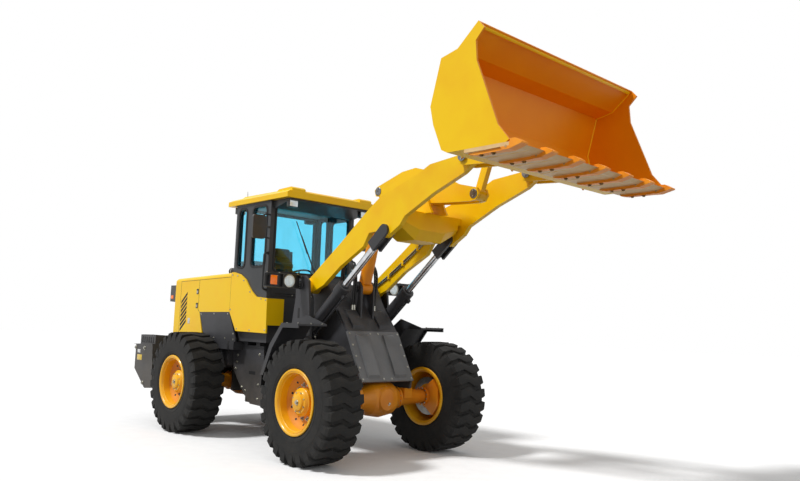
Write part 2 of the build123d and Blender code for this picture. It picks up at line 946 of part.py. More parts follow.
with BuildPart() as transmission:
    with BuildSketch(level(560)):
        with Locations((-830, 0)):
            Rectangle(400, 560)
    extrude(amount=500)
transmission.part.label = "transmission"
export_step(transmission.part, "parts/transmission.step")

with BuildPart() as hood:
    extrude(
        outline(
            0,
            (
                (-2430, hood_low),
                (-2430, 2060),
                (-2400, 2100),
                (-825, 2145),
                (-825, 1618),
                (-1652, 1610),
                (-1535, hood_low),
            ),
        ),
        amount=hood_half,
        both=True,
    )
    fillet([e for e in hood.edges() if e.length > 1500 and e.center().Z > 2080], radius=50)
    extrude(
        outline(0, ((-2410, 1200), (-2410, 2055), (-2395, 2080), (-845, 2124), (-845, 1200))),
        amount=hood_half - skin,
        both=True,
        mode=Mode.SUBTRACT,
    )
    extrude(
        outline(0, ((-2500, 1340), (-2300, 1340), (-2300, 1980), (-2500, 1980))),
        amount=590,
        both=True,
        mode=Mode.SUBTRACT,
    )
hood.part.label = "hood"
export_step(hood.part, "parts/hood.step")

with BuildPart() as rear_grille:
    extrude(outline(0, ((-2540, 1310), (-2430 - fit, 1310), (-2430 - fit, 2010), (-2540, 2010))), amount=630, both=True)
    extrude(
        outline(0, ((-2560, 1350), (-2400, 1350), (-2400, 1970), (-2560, 1970))), amount=590, both=True, mode=Mode.SUBTRACT
    )
    for n in range(11):
        z = 1350 + 31 + n * 56
        extrude(
            outline(0, ((-2520, z - 14), (-2512, z - 20), (-2455, z + 14), (-2463, z + 20))),
            amount=591,
            both=True,
        )
rear_grille.part.label = "rear_grille"
export_step(rear_grille.part, "parts/rear_grille.step")

with BuildPart() as rear_lamps:
    for hand in (-1, 1):
        extrude(
            outline(hand * 665, ((-2600, 1760), (-2430 - fit, 1750), (-2430 - fit, 2000), (-2600, 2000))),
            amount=34,
            both=True,
        )
rear_lamps.part.label = "rear_lamps"
export_step(rear_lamps.part, "parts/rear_lamps.step")

with BuildPart() as side_panels:
    for hand in (-1, 1):
        extrude(
            outline(
                hand * (hood_half - skin / 2),
                ((-1651, 1609), (-829, 1616), (-634, 1268), (-634, 1229), (-1463, 1229)),
            ),
            amount=skin / 2,
            both=True,
        )
side_panels.part.label = "side_panels"
export_step(side_panels.part, "parts/side_panels.step")

tank_top = 1229
with BuildPart() as side_tanks:
    for hand in (-1, 1):
        extrude(
            outline(hand * (rear_plate_y + frame_t / 2 + fit + hood_half) / 2, ((-1420, 1124), (-667, 1124), (-667, tank_top), (-1420, tank_top))),
            amount=(hood_half - rear_plate_y - frame_t / 2 - fit) / 2,
            both=True,
        )
        extrude(
            outline(hand * (rear_plate_y + frame_t / 2 + fit + 620) / 2, ((-1107, 1130), (-930, 1130), (-930, 905), (-1000, 905))),
            amount=(620 - rear_plate_y - frame_t / 2 - fit) / 2,
            both=True,
        )
side_tanks.part.label = "side_tanks"
export_step(side_tanks.part, "parts/side_tanks.step")

with BuildPart() as air_cleaner:
    extrude(
        outline(-170, ((-1300, 2131.8), (-860, 2144.4), (-860, 2300), (-950, 2335), (-1180, 2335), (-1300, 2260))),
        amount=200,
        both=True,
    )
air_cleaner.part.label = "air_cleaner"
export_step(air_cleaner.part, "parts/air_cleaner.step")

with BuildPart() as exhaust:
    with BuildSketch(Plane(origin=(pivot_x - 1300 - fit, -250, 2215), x_dir=(0, 1, 0), z_dir=(-1, 0, 0))):
        Circle(50)
        Circle(44, mode=Mode.SUBTRACT)
    extrude(amount=300)
    with BuildSketch(Plane(origin=(pivot_x - 1300 - fit, -250, 2215), x_dir=(0, 1, 0), z_dir=(-1, 0, 0))):
        Circle(50)
    extrude(amount=12)
    extrude(outline(-250, ((-1480, 2127), (-1440, 2128), (-1440, 2168), (-1480, 2168))), amount=20, both=True)
exhaust.part.label = "exhaust"
export_step(exhaust.part, "parts/exhaust.step")

# ---------------------------------------------------------------- platform and cab
ladder_rear = -480
ladder_front = -140
with BuildPart() as platform:
    with BuildSketch(level(platform_low)):
        with Locations((-400, 0)):
            Rectangle(800, 2 * (cab_half - wall_t))
    extrude(amount=cab_low - platform_low)
    # ladder on the left
    for x in (ladder_rear, ladder_front):
        with BuildSketch(Plane(origin=(pivot_x + x, 0, 0), x_dir=(0, 1, 0), z_dir=(1, 0, 0))):
            with BuildLine():
                Polyline((565, 1260), (625, 1260), (825, 500), (770, 500), close=True)
            make_face()
        extrude(amount=6, both=True)
    for z in (515, 765, 1015):
        with BuildSketch(level(z)):
            with Locations(((ladder_rear + ladder_front) / 2, 610 + (1260 - z) / 760 * 203)):
                Rectangle(ladder_front - ladder_rear, 130)
        extrude(amount=25)
platform.part.label = "platform"
export_step(platform.part, "parts/platform.step")

# side and outline of the skin beside the cab
fairings = (
    (
        -1,
        (
            (-822, 2146),
            (-758, 2147),
            (-600, 2115),
            (-462, 2045),
            (-370, 1950),
            (-294, 1883),
            (-188, 1817),
            (76, 1796),
            (90, 1360),
            (-641, 1370),
            (-822, 1616),
        ),
    ),
    (1, ((-822, 2146), (-758, 2147), (-600, 2115), (-520, 2070), (-520, 1365), (-641, 1370), (-822, 1616))),
)
with BuildPart() as side_fairings:
    for hand, edge in fairings:
        extrude(outline(hand * (cab_half + fit + skin / 2), edge), amount=skin / 2, both=True)
        # ledge that bolts to the platform
        extrude(
            outline(hand * (cab_half - 25), ((-640, 1372), (-522, 1372), (-522, 1392), (-640, 1392))),
            amount=25 - fit,
            both=True,
        )
    # front plate on the right
    extrude(outline(-570, ((60, 1460), (80, 1460), (80, 1796), (60, 1796))), amount=125, both=True)
side_fairings.part.label = "side_fairings"
export_step(side_fairings.part, "parts/side_fairings.step")

with BuildPart() as cab_frame:
    with BuildSketch(level(cab_low)):
        with Locations(((cab_front + cab_rear) / 2, 0)):
            Rectangle(cab_front - cab_rear, 2 * cab_half)
    extrude(amount=cab_top - cab_low)
    with BuildSketch(level(cab_low + wall_t)):
        with Locations(((cab_front + cab_rear) / 2, 0)):
            Rectangle(cab_front - cab_rear - 2 * wall_t, 2 * (cab_half - wall_t))
    extrude(amount=cab_top - cab_low, mode=Mode.SUBTRACT)
    # windscreen and rear window
    for x in (cab_front - wall_t / 2, cab_rear + wall_t / 2):
        with BuildSketch(Plane(origin=(pivot_x + x, 0, 0), x_dir=(0, 1, 0), z_dir=(1, 0, 0))):
            with Locations((0, 2570)):
                RectangleRounded(2 * cab_half - 160, 860, 60)
        extrude(amount=wall_t, both=True, mode=Mode.SUBTRACT)
    # side windows, the front one only on the right
    with BuildSketch(side(0)):
        with Locations((-640, 2600)):
            RectangleRounded(190, 780, 60)
    extrude(amount=2 * cab_half, both=True, mode=Mode.SUBTRACT)
    with BuildSketch(side(0)):
        with Locations((-225, 2600)):
            RectangleRounded(330, 780, 60)
    extrude(amount=2 * cab_half, mode=Mode.SUBTRACT)
    # hinge leaves of the door
    for z in door_hinges:
        with BuildSketch(level(z)):
            with Locations((door_axis[0], door_axis[1])):
                Circle(12)
            with Locations((door_axis[0] - 8, (door_axis[1] + cab_half - 2) / 2)):
                Rectangle(16, door_axis[1] - cab_half + 2)
        extrude(amount=-60)
    # header under the front of the roof
    extrude(
        outline(0, ((cab_front - 5, 2950), (cab_front + 30, 2950), (400, 3030), (400, cab_top), (cab_front - 5, cab_top))),
        amount=640,
        both=True,
    )
    # doorway on the left
    extrude(outline(cab_half, ((-500, 1500), (-20, 1500), (-20, 3020), (-500, 3020))), amount=2 * wall_t, both=True, mode=Mode.SUBTRACT)
cab_frame.part.label = "cab_frame"
export_step(cab_frame.part, "parts/cab_frame.step")

with BuildPart() as cab_door:
    extrude(
        outline(cab_half - wall_t / 2, ((-495, 1505), (-25, 1505), (-25, 3015), (-495, 3015))),
        amount=20,
        both=True,
    )
    with BuildSketch(side(cab_half)):
        with Locations((-260, 2500)):
            RectangleRounded(370, 900, 60)
    extrude(amount=2 * wall_t, both=True, mode=Mode.SUBTRACT)
    for z in door_hinges:
        with BuildSketch(level(z + fit)):
            with Locations((door_axis[0], door_axis[1])):
                Circle(12)
            with Locations((door_axis[0] + 12, door_axis[1] - 12)):
                Rectangle(20, 24)
        extrude(amount=60)
cab_door.part.label = "cab_door"
export_step(cab_door.part, "parts/cab_door.step")

with BuildPart() as cab_roof:
    under = cab_top + fit
    extrude(
        outline(
            0,
            (
                (-990, under),
                (434, under),
                (434, cab_top + 85),
                (400, cab_top + 108),
                (-700, cab_top + 118),
                (-725, cab_top + 92),
                (-950, cab_top + 86),
                (-990, cab_top + 60),
            ),
        ),
        amount=715,
        both=True,
    )
    # bevelled long edges
    for hand in (-1, 1):
        with BuildSketch(Plane(origin=(pivot_x - 1000, 0, 0), x_dir=(0, 1, 0), z_dir=(1, 0, 0))):
            with BuildLine():
                Polyline(
                    (hand * 640, cab_top + 130),
                    (hand * 645, cab_top + 108),
                    (hand * 716, cab_top + 62),
                    (hand * 730, cab_top + 62),
                    (hand * 730, cab_top + 130),
                    close=True,
                )
            make_face()
        extrude(amount=1450, mode=Mode.SUBTRACT)
        # raised front corner
        extrude(
            outline(
                hand * 545,
                ((80, cab_top + 105), (430, cab_top + 80), (430, cab_top + 118), (405, cab_top + 138), (130, cab_top + 132)),
            ),
            amount=100,
            both=True,
        )
cab_roof.part.label = "cab_roof"
export_step(cab_roof.part, "parts/cab_roof.step")

with BuildPart() as seat:
    with BuildSketch(level(cab_low + wall_t)):
        with Locations((-500, 0)):
            Rectangle(300, 300)
    extrude(amount=340)
    with BuildSketch(level(cab_low + wall_t + 340)):
        with Locations((-485, 0)):
            Rectangle(430, 480)
    extrude(amount=110)
    extrude(outline(0, ((-700, 1900), (-600, 1900), (-650, 2560), (-730, 2560))), amount=220, both=True)
seat.part.label = "seat"
export_step(seat.part, "parts/seat.step")

wheel_plane = Plane(origin=(pivot_x - 270, 0, 2120), x_dir=(0, 1, 0), z_dir=(-0.5, 0, 1))
with BuildPart() as console:
    extrude(outline(0, ((-120, cab_low + wall_t), (-30, cab_low + wall_t), (-30, 1960), (-120, 1990))), amount=160, both=True)
    with BuildSketch(wheel_plane.offset(-60 - fit)):
        Circle(26)
    extrude(amount=-280)
console.part.label = "console"
export_step(console.part, "parts/console.step")

with BuildPart() as steering_wheel:
    with BuildSketch(wheel_plane):
        Circle(190)
        Circle(165, mode=Mode.SUBTRACT)
        Rectangle(350, 30)
        Circle(40)
    extrude(amount=20)
    with BuildSketch(wheel_plane):
        Circle(20)
    extrude(amount=-60)
steering_wheel.part.label = "steering_wheel"
export_step(steering_wheel.part, "parts/steering_wheel.step")

with BuildPart() as windows:
    for x in (cab_front - wall_t / 2, cab_rear + wall_t / 2):
        with BuildSketch(Plane(origin=(pivot_x + x, 0, 0), x_dir=(0, 1, 0), z_dir=(1, 0, 0))):
            with Locations((0, 2570)):
                RectangleRounded(2 * cab_half - 160, 860, 60)
        extrude(amount=glass_t / 2, both=True)
    for y in (-cab_half + wall_t / 2, cab_half - wall_t / 2):
        with BuildSketch(side(y)):
            with Locations((-640, 2600)):
                RectangleRounded(190, 780, 60)
            if y < 0:
                with Locations((-225, 2600)):
                    RectangleRounded(330, 780, 60)
        extrude(amount=glass_t / 2, both=True)
windows.part.label = "cab_windows"
export_step(windows.part, "parts/cab_windows.step")

with BuildPart() as door_window:
    with BuildSketch(side(cab_half - wall_t / 2)):
        with Locations((-260, 2500)):
            RectangleRounded(370, 900, 60)
    extrude(amount=glass_t / 2, both=True)
door_window.part.label = "door_window"
export_step(door_window.part, "parts/door_window.step")

# ---------------------------------------------------------------- lamps and mirrors
tower_face = tower_y + frame_t / 2
with BuildPart() as headlamps:
    for hand in (-1, 1):
        # channel-shaped bracket
        extrude(
            outline(
                hand * 900,
                (
                    (680, 1905),
                    (745, 1905),
                    (745, 1915),
                    (692, 1915),
                    (692, 2065),
                    (745, 2065),
                    (745, 2075),
                    (680, 2075),
                ),
            ),
            amount=245,
            both=True,
        )
        # square housing with a round lamp, and the indicator outboard
        extrude(
            outline(hand * 830, ((660, 1912), (728, 1912), (728, 2068), (660, 2068))),
            amount=84,
            both=True,
        )
        with BuildSketch(Plane(origin=(pivot_x + 728, hand * 830, 1990), x_dir=(0, 1, 0), z_dir=(1, 0, 0))):
            Circle(74)
            Circle(66, mode=Mode.SUBTRACT)
        extrude(amount=16)
        with BuildSketch(Plane(origin=(pivot_x + 720, hand * 830, 1990), x_dir=(0, 1, 0), z_dir=(1, 0, 0))):
            Circle(68)
        extrude(amount=14)
        extrude(
            outline(hand * 1045, ((685, 1930), (735, 1930), (735, 2050), (685, 2050))),
            amount=50,
            both=True,
        )
        extrude(
            outline(hand * (tower_face + fit + 20), ((690, 2030), (745, 2030), (735, 2060), (690, 2060))),
            amount=20,
            both=True,
        )
headlamps.part.label = "headlamps"
export_step(headlamps.part, "parts/headlamps.step")

with BuildPart() as mirrors:
    for hand in (-1, 1):
        with BuildSketch(Plane(origin=(pivot_x + 60, hand * 880, 2680), x_dir=(0, 1, 0), z_dir=(1, 0, 0))):
            RectangleRounded(190, 300, 40)
        extrude(amount=40)
        with BuildSketch(side(hand * (cab_half + fit))):
            with Locations((10, 2700)):
                Rectangle(24, 24)
        extrude(amount=-hand * 160)
        with BuildSketch(side(hand * 830)):
            with Locations((40, 2700)):
                Rectangle(60, 24)
        extrude(amount=12, both=True)
mirrors.part.label = "mirrors"
export_step(mirrors.part, "parts/mirrors.step")

# ---------------------------------------------------------------- steering cylinders and drive shafts
for name, hand in (("left", 1), ("right", -1)):
    start = Vector(pivot_x + steer_base[0], hand * steer_base[1], steer_z)
    finish = Vector(pivot_x + steer_eye[0], hand * steer_eye[1], steer_z)
    length = (finish - start).length
    run = Plane(origin=start, x_dir=(0, 0, 1), z_dir=finish - start)
    with BuildPart() as barrel:
        with BuildSketch(run.offset(55)):
            Circle(42)
        extrude(amount=steer_barrel_l - 55)
        with BuildSketch(run):
            Rectangle(2 * steer_base_h, 60)
        extrude(amount=60)
        with BuildSketch(level(steer_z)):
            with Locations((steer_base[0], hand * steer_base[1])):
                Circle(42)
        extrude(amount=steer_base_h, both=True)
        with BuildSketch(run.offset(60)):
            Circle(30)
        extrude(amount=steer_barrel_l - 90, mode=Mode.SUBTRACT)
        with BuildSketch(run.offset(60)):
            Circle(20 + rod_gap)
        extrude(amount=steer_barrel_l, mode=Mode.SUBTRACT)
        with BuildSketch(level(steer_z)):
            with Locations((steer_base[0], hand * steer_base[1])):
                Circle(20 + fit)
        extrude(amount=40, both=True, mode=Mode.SUBTRACT)
    barrel.part.label = f"steer_barrel_{name}"
    export_step(barrel.part, f"parts/steer_barrel_{name}.step")
    with BuildPart() as rod:
        with BuildSketch(run.offset(length - steer_rod_l)):
            Circle(20)
        extrude(amount=steer_rod_l)
        with BuildSketch(run.offset(length - steer_rod_l)):
            Circle(29)
        extrude(amount=35)
        with BuildSketch(level(steer_z)):
            with Locations((steer_eye[0], hand * steer_eye[1])):
                Circle(40)
        extrude(amount=steer_eye_h, both=True)
    rod.part.label = f"steer_rod_{name}"
    export_step(rod.part, f"parts/steer_rod_{name}.step")

# name, start and end stations
for name, start, end in (
    ("front_shaft", 180, front_axle - 330 - fit),
    ("rear_shaft", rear_axle + 330 + fit, -1030 - fit),
):
    with BuildPart() as shaft:
        middle = Plane(origin=(pivot_x + start, 0, tyre_r), x_dir=(0, 1, 0), z_dir=(1, 0, 0))
        with BuildSketch(middle):
            Circle(38)
        extrude(amount=end - start)
        for offset in (0, end - start - 40):
            with BuildSketch(middle.offset(offset)):
                Circle(60)
            extrude(amount=40)
    shaft.part.label = name
    export_step(shaft.part, f"parts/{name}.step")
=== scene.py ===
"""Articulated wheel loader: finishes and detail pieces on a fixed frame, in metres.

+X is forward, +Y is the machine's left and +Z is up. Millimetres are used where a name
ends in _mm, for bolt sizes and lathe profiles, and for the points that go through at(),
whose stations are counted from the articulation hinge.
"""

import json
import math

import bmesh
import bpy
from mathutils import Matrix, Vector


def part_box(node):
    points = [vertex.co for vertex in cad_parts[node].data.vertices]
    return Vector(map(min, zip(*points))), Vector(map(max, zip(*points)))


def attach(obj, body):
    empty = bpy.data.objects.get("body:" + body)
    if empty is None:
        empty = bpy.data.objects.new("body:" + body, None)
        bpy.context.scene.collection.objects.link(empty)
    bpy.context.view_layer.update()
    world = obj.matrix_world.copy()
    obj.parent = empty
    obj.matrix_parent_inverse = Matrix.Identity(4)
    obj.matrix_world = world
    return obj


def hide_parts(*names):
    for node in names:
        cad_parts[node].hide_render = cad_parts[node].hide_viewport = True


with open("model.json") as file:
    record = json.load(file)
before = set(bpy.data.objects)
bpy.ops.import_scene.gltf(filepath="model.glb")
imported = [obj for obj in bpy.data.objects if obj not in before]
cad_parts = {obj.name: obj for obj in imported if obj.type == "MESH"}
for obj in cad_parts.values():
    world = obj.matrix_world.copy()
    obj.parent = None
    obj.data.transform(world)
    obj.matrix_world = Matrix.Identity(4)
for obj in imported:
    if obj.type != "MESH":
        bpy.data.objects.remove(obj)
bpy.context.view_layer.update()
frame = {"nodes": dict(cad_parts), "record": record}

bl_info = {
    "name": "Wheel loader dressing",
    "version": (1, 0, 0),
    "blender": (4, 5, 0),
    "location": "View3D > Sidebar > Loader",
    "description": "Gives the wheel loader its paint, tyres, glass, lamps, trim and stage",
    "category": "Add Mesh",
}

PIVOT = next(j["pos_m"][0] for j in frame["record"]["behaviour"]["joints"] if j["name"] == "articulation")
X, Y, Z = Vector((1, 0, 0)), Vector((0, 1, 0)), Vector((0, 0, 1))
SIDES = (-1, 1)  # right and left
WHEELS = ("front_left", "front_right", "rear_left", "rear_right")
TYRE_R = 0.665  # also the height of the axles
TEETH = 7
TOOTH_PITCH_MM = 2410 / (TEETH - 1)
# pins of the arms and cylinders: station and height
LIFT_FOOT, LIFT_EYE, ARM_PIN = (607, 1300), (2070, 2530), (710, 1950)
TILT_FOOT, TILT_EYE, CRANK_PIN = (1120, 1950), (1413, 3095), (2150, 2990)
LINK_PIN, BUCKET_PIN = (2930, 2905), (3240, 3160)


def at(station, y, z):
    """A point of the machine from millimetres."""
    return Vector((PIVOT + station / 1000, y / 1000, z / 1000))


# ------------------------------------------------------------------ colour and nodes
RAMP, RANGE, MIX, MATH = "ShaderNodeValToRGB", "ShaderNodeMapRange", "ShaderNodeMix", "ShaderNodeMath"
NOISE, CELLS, WAVE = "ShaderNodeTexNoise", "ShaderNodeTexVoronoi", "ShaderNodeTexWave"
SPLIT, RAYS = "ShaderNodeSeparateXYZ", "ShaderNodeLightPath"


def linear(code, gain=1.0):
    """sRGB hex to a linear RGBA colour, gain times as bright."""
    parts = [int(code[i : i + 2], 16) / 255 for i in (1, 3, 5)]
    curve = [c / 12.92 if c <= 0.04045 else ((c + 0.055) / 1.055) ** 2.4 for c in parts]
    return (*(min(1.0, gain * c) for c in curve), 1.0)


def add(tree, kind, inputs=None, take=0, stops=(), **settings):
    """Adds a node and returns its output `take`, or all its outputs for None.

    An input is given a value, or the output that feeds it. A ramp's stops are (place, colour).
    """
    node = tree.nodes.new(kind)
    for key, value in settings.items():
        setattr(node, key, value)
    for n, (place, colour) in enumerate(stops):
        node.color_ramp.elements[n].position = place
        node.color_ramp.elements[n].color = colour
    for key, value in (inputs or {}).items():
        if isinstance(value, bpy.types.NodeSocket):
            tree.links.new(value, node.inputs[key])
        else:
            node.inputs[key].default_value = value
    return node.outputs if take is None else node.outputs[take]


def begin(name):
    """A new empty material. Returns it, its tree and the object coordinates."""
    material = bpy.data.materials.new(name)
    material.use_nodes = True
    tree = material.node_tree
    tree.nodes.clear()
    return material, tree, add(tree, "ShaderNodeTexCoord", take="Object")


def close(material, inputs, height=None, distance=0.0, strength=0.0):
    """Ends a material with its shader, and with relief of a distance in metres where a height is given."""
    tree = material.node_tree
    if height is not None:
        relief = {"Height": height, "Distance": distance, "Strength": strength}
        inputs["Normal"] = add(tree, "ShaderNodeBump", relief)
    shader = add(tree, "ShaderNodeBsdfPrincipled", inputs)
    add(tree, "ShaderNodeOutputMaterial", {"Surface": shader}, None)
    return material


def paint(name, code, deep, rough=0.34, grain_mm=4.0, coat=0.25, dust=0.25, dust_top=1.1):
    """Sprayed enamel on steel: slight orange peel, a cloudy tone and dust that fades with height."""
    material, tree, where = begin(name)
    cloud = add(tree, NOISE, {"Vector": where, "Scale": 2.2, "Detail": 3.0})
    tone = add(tree, RAMP, {"Fac": cloud}, stops=((0.3, linear(deep)), (0.55, linear(code))))
    height = add(tree, SPLIT, {"Vector": where}, "Z")
    fade = {"Value": height, "From Min": 0.1, "From Max": dust_top, "To Min": dust, "To Max": 0.0}
    speck = add(tree, NOISE, {"Vector": where, "Scale": 9.0, "Detail": 6.0, "Roughness": 0.65})
    film = add(tree, MATH, {0: add(tree, RANGE, fade), 1: speck}, operation="MULTIPLY")
    tan_dust = linear("#8F7F66")
    mixed = add(tree, MIX, {0: film, 6: tone, 7: tan_dust}, 2, data_type="RGBA")
    gloss = add(tree, RANGE, {"Value": speck, "To Min": rough - 0.05, "To Max": rough + 0.09})
    # orange peel is about 2 mm across; drawn at grain_mm so that it shows
    peel = add(tree, NOISE, {"Vector": where, "Scale": 1000 / grain_mm, "Detail": 1.0})
    inputs = {"Base Color": mixed, "Roughness": gloss, "Specular IOR Level": 0.3}
    inputs.update({"Coat Weight": coat, "Coat Roughness": 0.16})
    return close(material, inputs, peel, 0.0004, 0.25)


def metal(name, code, deep, rough, metallic=1.0, scratch_mm=1.5, stretch=(1, 1, 12), relief=0.0002):
    """Bare metal with fine drawn scratches along one direction and a blotchy oxide."""
    material, tree, where = begin(name)
    run = add(tree, "ShaderNodeMapping", {"Vector": where, "Scale": stretch})
    lines = add(tree, NOISE, {"Vector": run, "Scale": 100 / scratch_mm, "Detail": 3.0})
    blot = add(tree, NOISE, {"Vector": where, "Scale": 14.0, "Detail": 5.0})
    tone = add(tree, RAMP, {"Fac": blot}, stops=((0.3, linear(deep)), (0.7, linear(code))))
    gloss = add(tree, RANGE, {"Value": lines, "To Min": rough * 0.7, "To Max": rough * 1.3})
    inputs = {"Base Color": tone, "Roughness": gloss, "Metallic": metallic}
    return close(material, inputs, lines, relief, 0.3)


def rubber(name, code, dusty, rough, grain_mm, dust_from=0.35):
    """Vulcanised rubber: matt, faintly grained, with pale dust in patches."""
    material, tree, where = begin(name)
    patch = add(tree, NOISE, {"Vector": where, "Scale": 7.0, "Detail": 8.0, "Roughness": 0.7})
    tone = add(tree, RAMP, {"Fac": patch}, stops=((dust_from, linear(code)), (0.85, linear(dusty))))
    grain = add(tree, NOISE, {"Vector": where, "Scale": 1000 / grain_mm, "Detail": 3.0})
    inputs = {"Base Color": tone, "Roughness": rough, "Specular IOR Level": 0.35}
    return close(material, inputs, grain, 0.0008, 0.35)


def moulded(name, code, rough=0.5, grain_mm=1.6, coat=0.0):
    """A moulded or enamelled skin with a fine leather-like grain."""
    material, tree, where = begin(name)
    grain = add(tree, CELLS, {"Vector": where, "Scale": 1000 / grain_mm})
    tone = add(tree, RAMP, {"Fac": grain}, stops=((0.1, linear(code)), (0.7, linear(code, 0.82))))
    inputs = {"Base Color": tone, "Roughness": rough, "Coat Weight": coat}
    return close(material, inputs, grain, 0.0003, 0.3)


def lens(name, code, painted_glow, prism_mm, clear):
    """Moulded polycarbonate lens with a prism pattern on its back, and a faint painted glow in its own
    colour.
    """
    material, tree, where = begin(name)
    # one period of the wave is two prism_mm, a prism and a groove
    prism = add(tree, WAVE, {"Vector": where, "Scale": 1000 / prism_mm / 6.3}, "Fac", bands_direction="Y")
    tone = add(tree, RAMP, {"Fac": prism}, stops=((0.2, linear(code, 0.7)), (0.8, linear(code))))
    inputs = {"Base Color": tone, "Roughness": 0.12, "IOR": 1.58, "Transmission Weight": clear}
    # painted glow: the lens gives off light of its own colour, though no lamp behind it is lit
    inputs.update({"Emission Color": linear(code), "Emission Strength": painted_glow})
    return close(material, inputs, prism, 0.001, 0.4)


def glazing(name, code):
    """Tempered green-blue glass: almost clear, with a faint roller wave in the reflection."""
    material, tree, where = begin(name)
    wave = add(tree, NOISE, {"Vector": where, "Scale": 3.0, "Detail": 1.0})
    tone = add(tree, RAMP, {"Fac": wave}, stops=((0.35, linear(code)), (0.65, linear(code, 1.04))))
    inputs = {"Base Color": tone, "Roughness": 0.02, "IOR": 1.45, "Transmission Weight": 1.0}
    return close(material, inputs, wave, 0.0015, 0.15)


def perforated(name, code, hole_shade, pitch_mm):
    """Perforated steel drawn flat, its holes painted dark as painted shade of the space behind."""
    material, tree, where = begin(name)
    wires = add(tree, CELLS, {"Vector": where, "Scale": 1000 / pitch_mm, "Randomness": 0.0})
    # painted shade in the holes
    tone = add(tree, RAMP, {"Fac": wires}, stops=((0.38, linear(hole_shade)), (0.46, linear(code))))
    return close(material, {"Base Color": tone, "Roughness": 0.55}, wires, 0.002, 0.5)


def cloth(name, code, deep, thread_mm=3.0):
    """Woven seat fabric; threads are under 1 mm and drawn at thread_mm so that they show."""
    material, tree, where = begin(name)
    thread = {"Vector": where, "Scale": 1000 / thread_mm / 6.3}
    warp, weft = (add(tree, WAVE, thread, "Fac", bands_direction=axis) for axis in "YZ")
    over = add(tree, MATH, {0: warp, 1: weft}, operation="MULTIPLY")
    tone = add(tree, RAMP, {"Fac": over}, stops=((0.1, linear(deep)), (0.7, linear(code))))
    return close(material, {"Base Color": tone, "Roughness": 0.9, "Sheen Weight": 0.3}, over, 0.0008, 0.5)


def part_painted(name, foot, eye, reach, code):
    """Ground chrome from the foot of a rod, painted from a distance along it to the eye."""
    material, tree, where = begin(name)
    foot, eye = at(foot[0], 0, foot[1]), at(eye[0], 0, eye[1])
    way = (eye - foot).normalized()
    along = add(tree, "ShaderNodeVectorMath", {0: where, 1: way}, "Value", operation="DOT_PRODUCT")
    head = add(tree, MATH, {0: along, 1: foot.dot(way) + reach}, operation="GREATER_THAN")
    speck = add(tree, NOISE, {"Vector": where, "Scale": 14.0, "Detail": 4.0})
    chrome = add(tree, RAMP, {"Fac": speck}, stops=((0.35, linear("#C2C5C9")), (0.65, linear("#DADCDF"))))
    colour = add(tree, MIX, {0: head, 6: chrome, 7: linear(code)}, 2, data_type="RGBA")
    bare = add(tree, MATH, {0: 1.0, 1: head}, operation="SUBTRACT")
    gloss = add(tree, RANGE, {"Value": head, "To Min": 0.14, "To Max": 0.42})
    return close(material, {"Base Color": colour, "Metallic": bare, "Roughness": gloss})


def tooth_paint(name, blade, tooth):
    """Worn blade steel, with orange on the castings that repeat along its width: partly their paint, partly
    painted shade below the blade's top and ahead of its front.
    """
    half_casting, blade_top, blade_front = 0.0475, 2.9685, PIVOT + 4.332
    material, tree, where = begin(name)
    place = add(tree, SPLIT, {"Vector": where}, None)
    off = add(tree, MATH, {0: place["Y"], 1: TOOTH_PITCH_MM / 2000}, operation="PINGPONG")
    near = add(tree, MATH, {0: off, 1: half_casting}, operation="LESS_THAN")
    under = add(tree, MATH, {0: place["Z"], 1: blade_top}, operation="LESS_THAN")
    ahead = add(tree, MATH, {0: place["X"], 1: blade_front}, operation="GREATER_THAN")
    out = add(tree, MATH, {0: under, 1: ahead}, operation="MAXIMUM")
    # castings below the blade's top, and those ahead of its front, take the orange: partly paint, partly
    # painted shade
    cast = add(tree, MATH, {0: near, 1: out}, operation="MULTIPLY")
    speck = add(tree, NOISE, {"Vector": where, "Scale": 7.0, "Detail": 6.0, "Roughness": 0.6})
    worn = add(tree, RAMP, {"Fac": speck}, stops=((0.3, linear("#DDB278")), (0.6, linear(blade))))
    coat = add(tree, RAMP, {"Fac": speck}, stops=((0.3, linear("#F08C0A")), (0.6, linear(tooth))))
    colour = add(tree, MIX, {0: cast, 6: worn, 7: coat}, 2, data_type="RGBA")
    grit = add(tree, NOISE, {"Vector": where, "Scale": 180.0, "Detail": 2.0})
    return close(material, {"Base Color": colour, "Roughness": 0.5}, grit, 0.0008, 0.3)


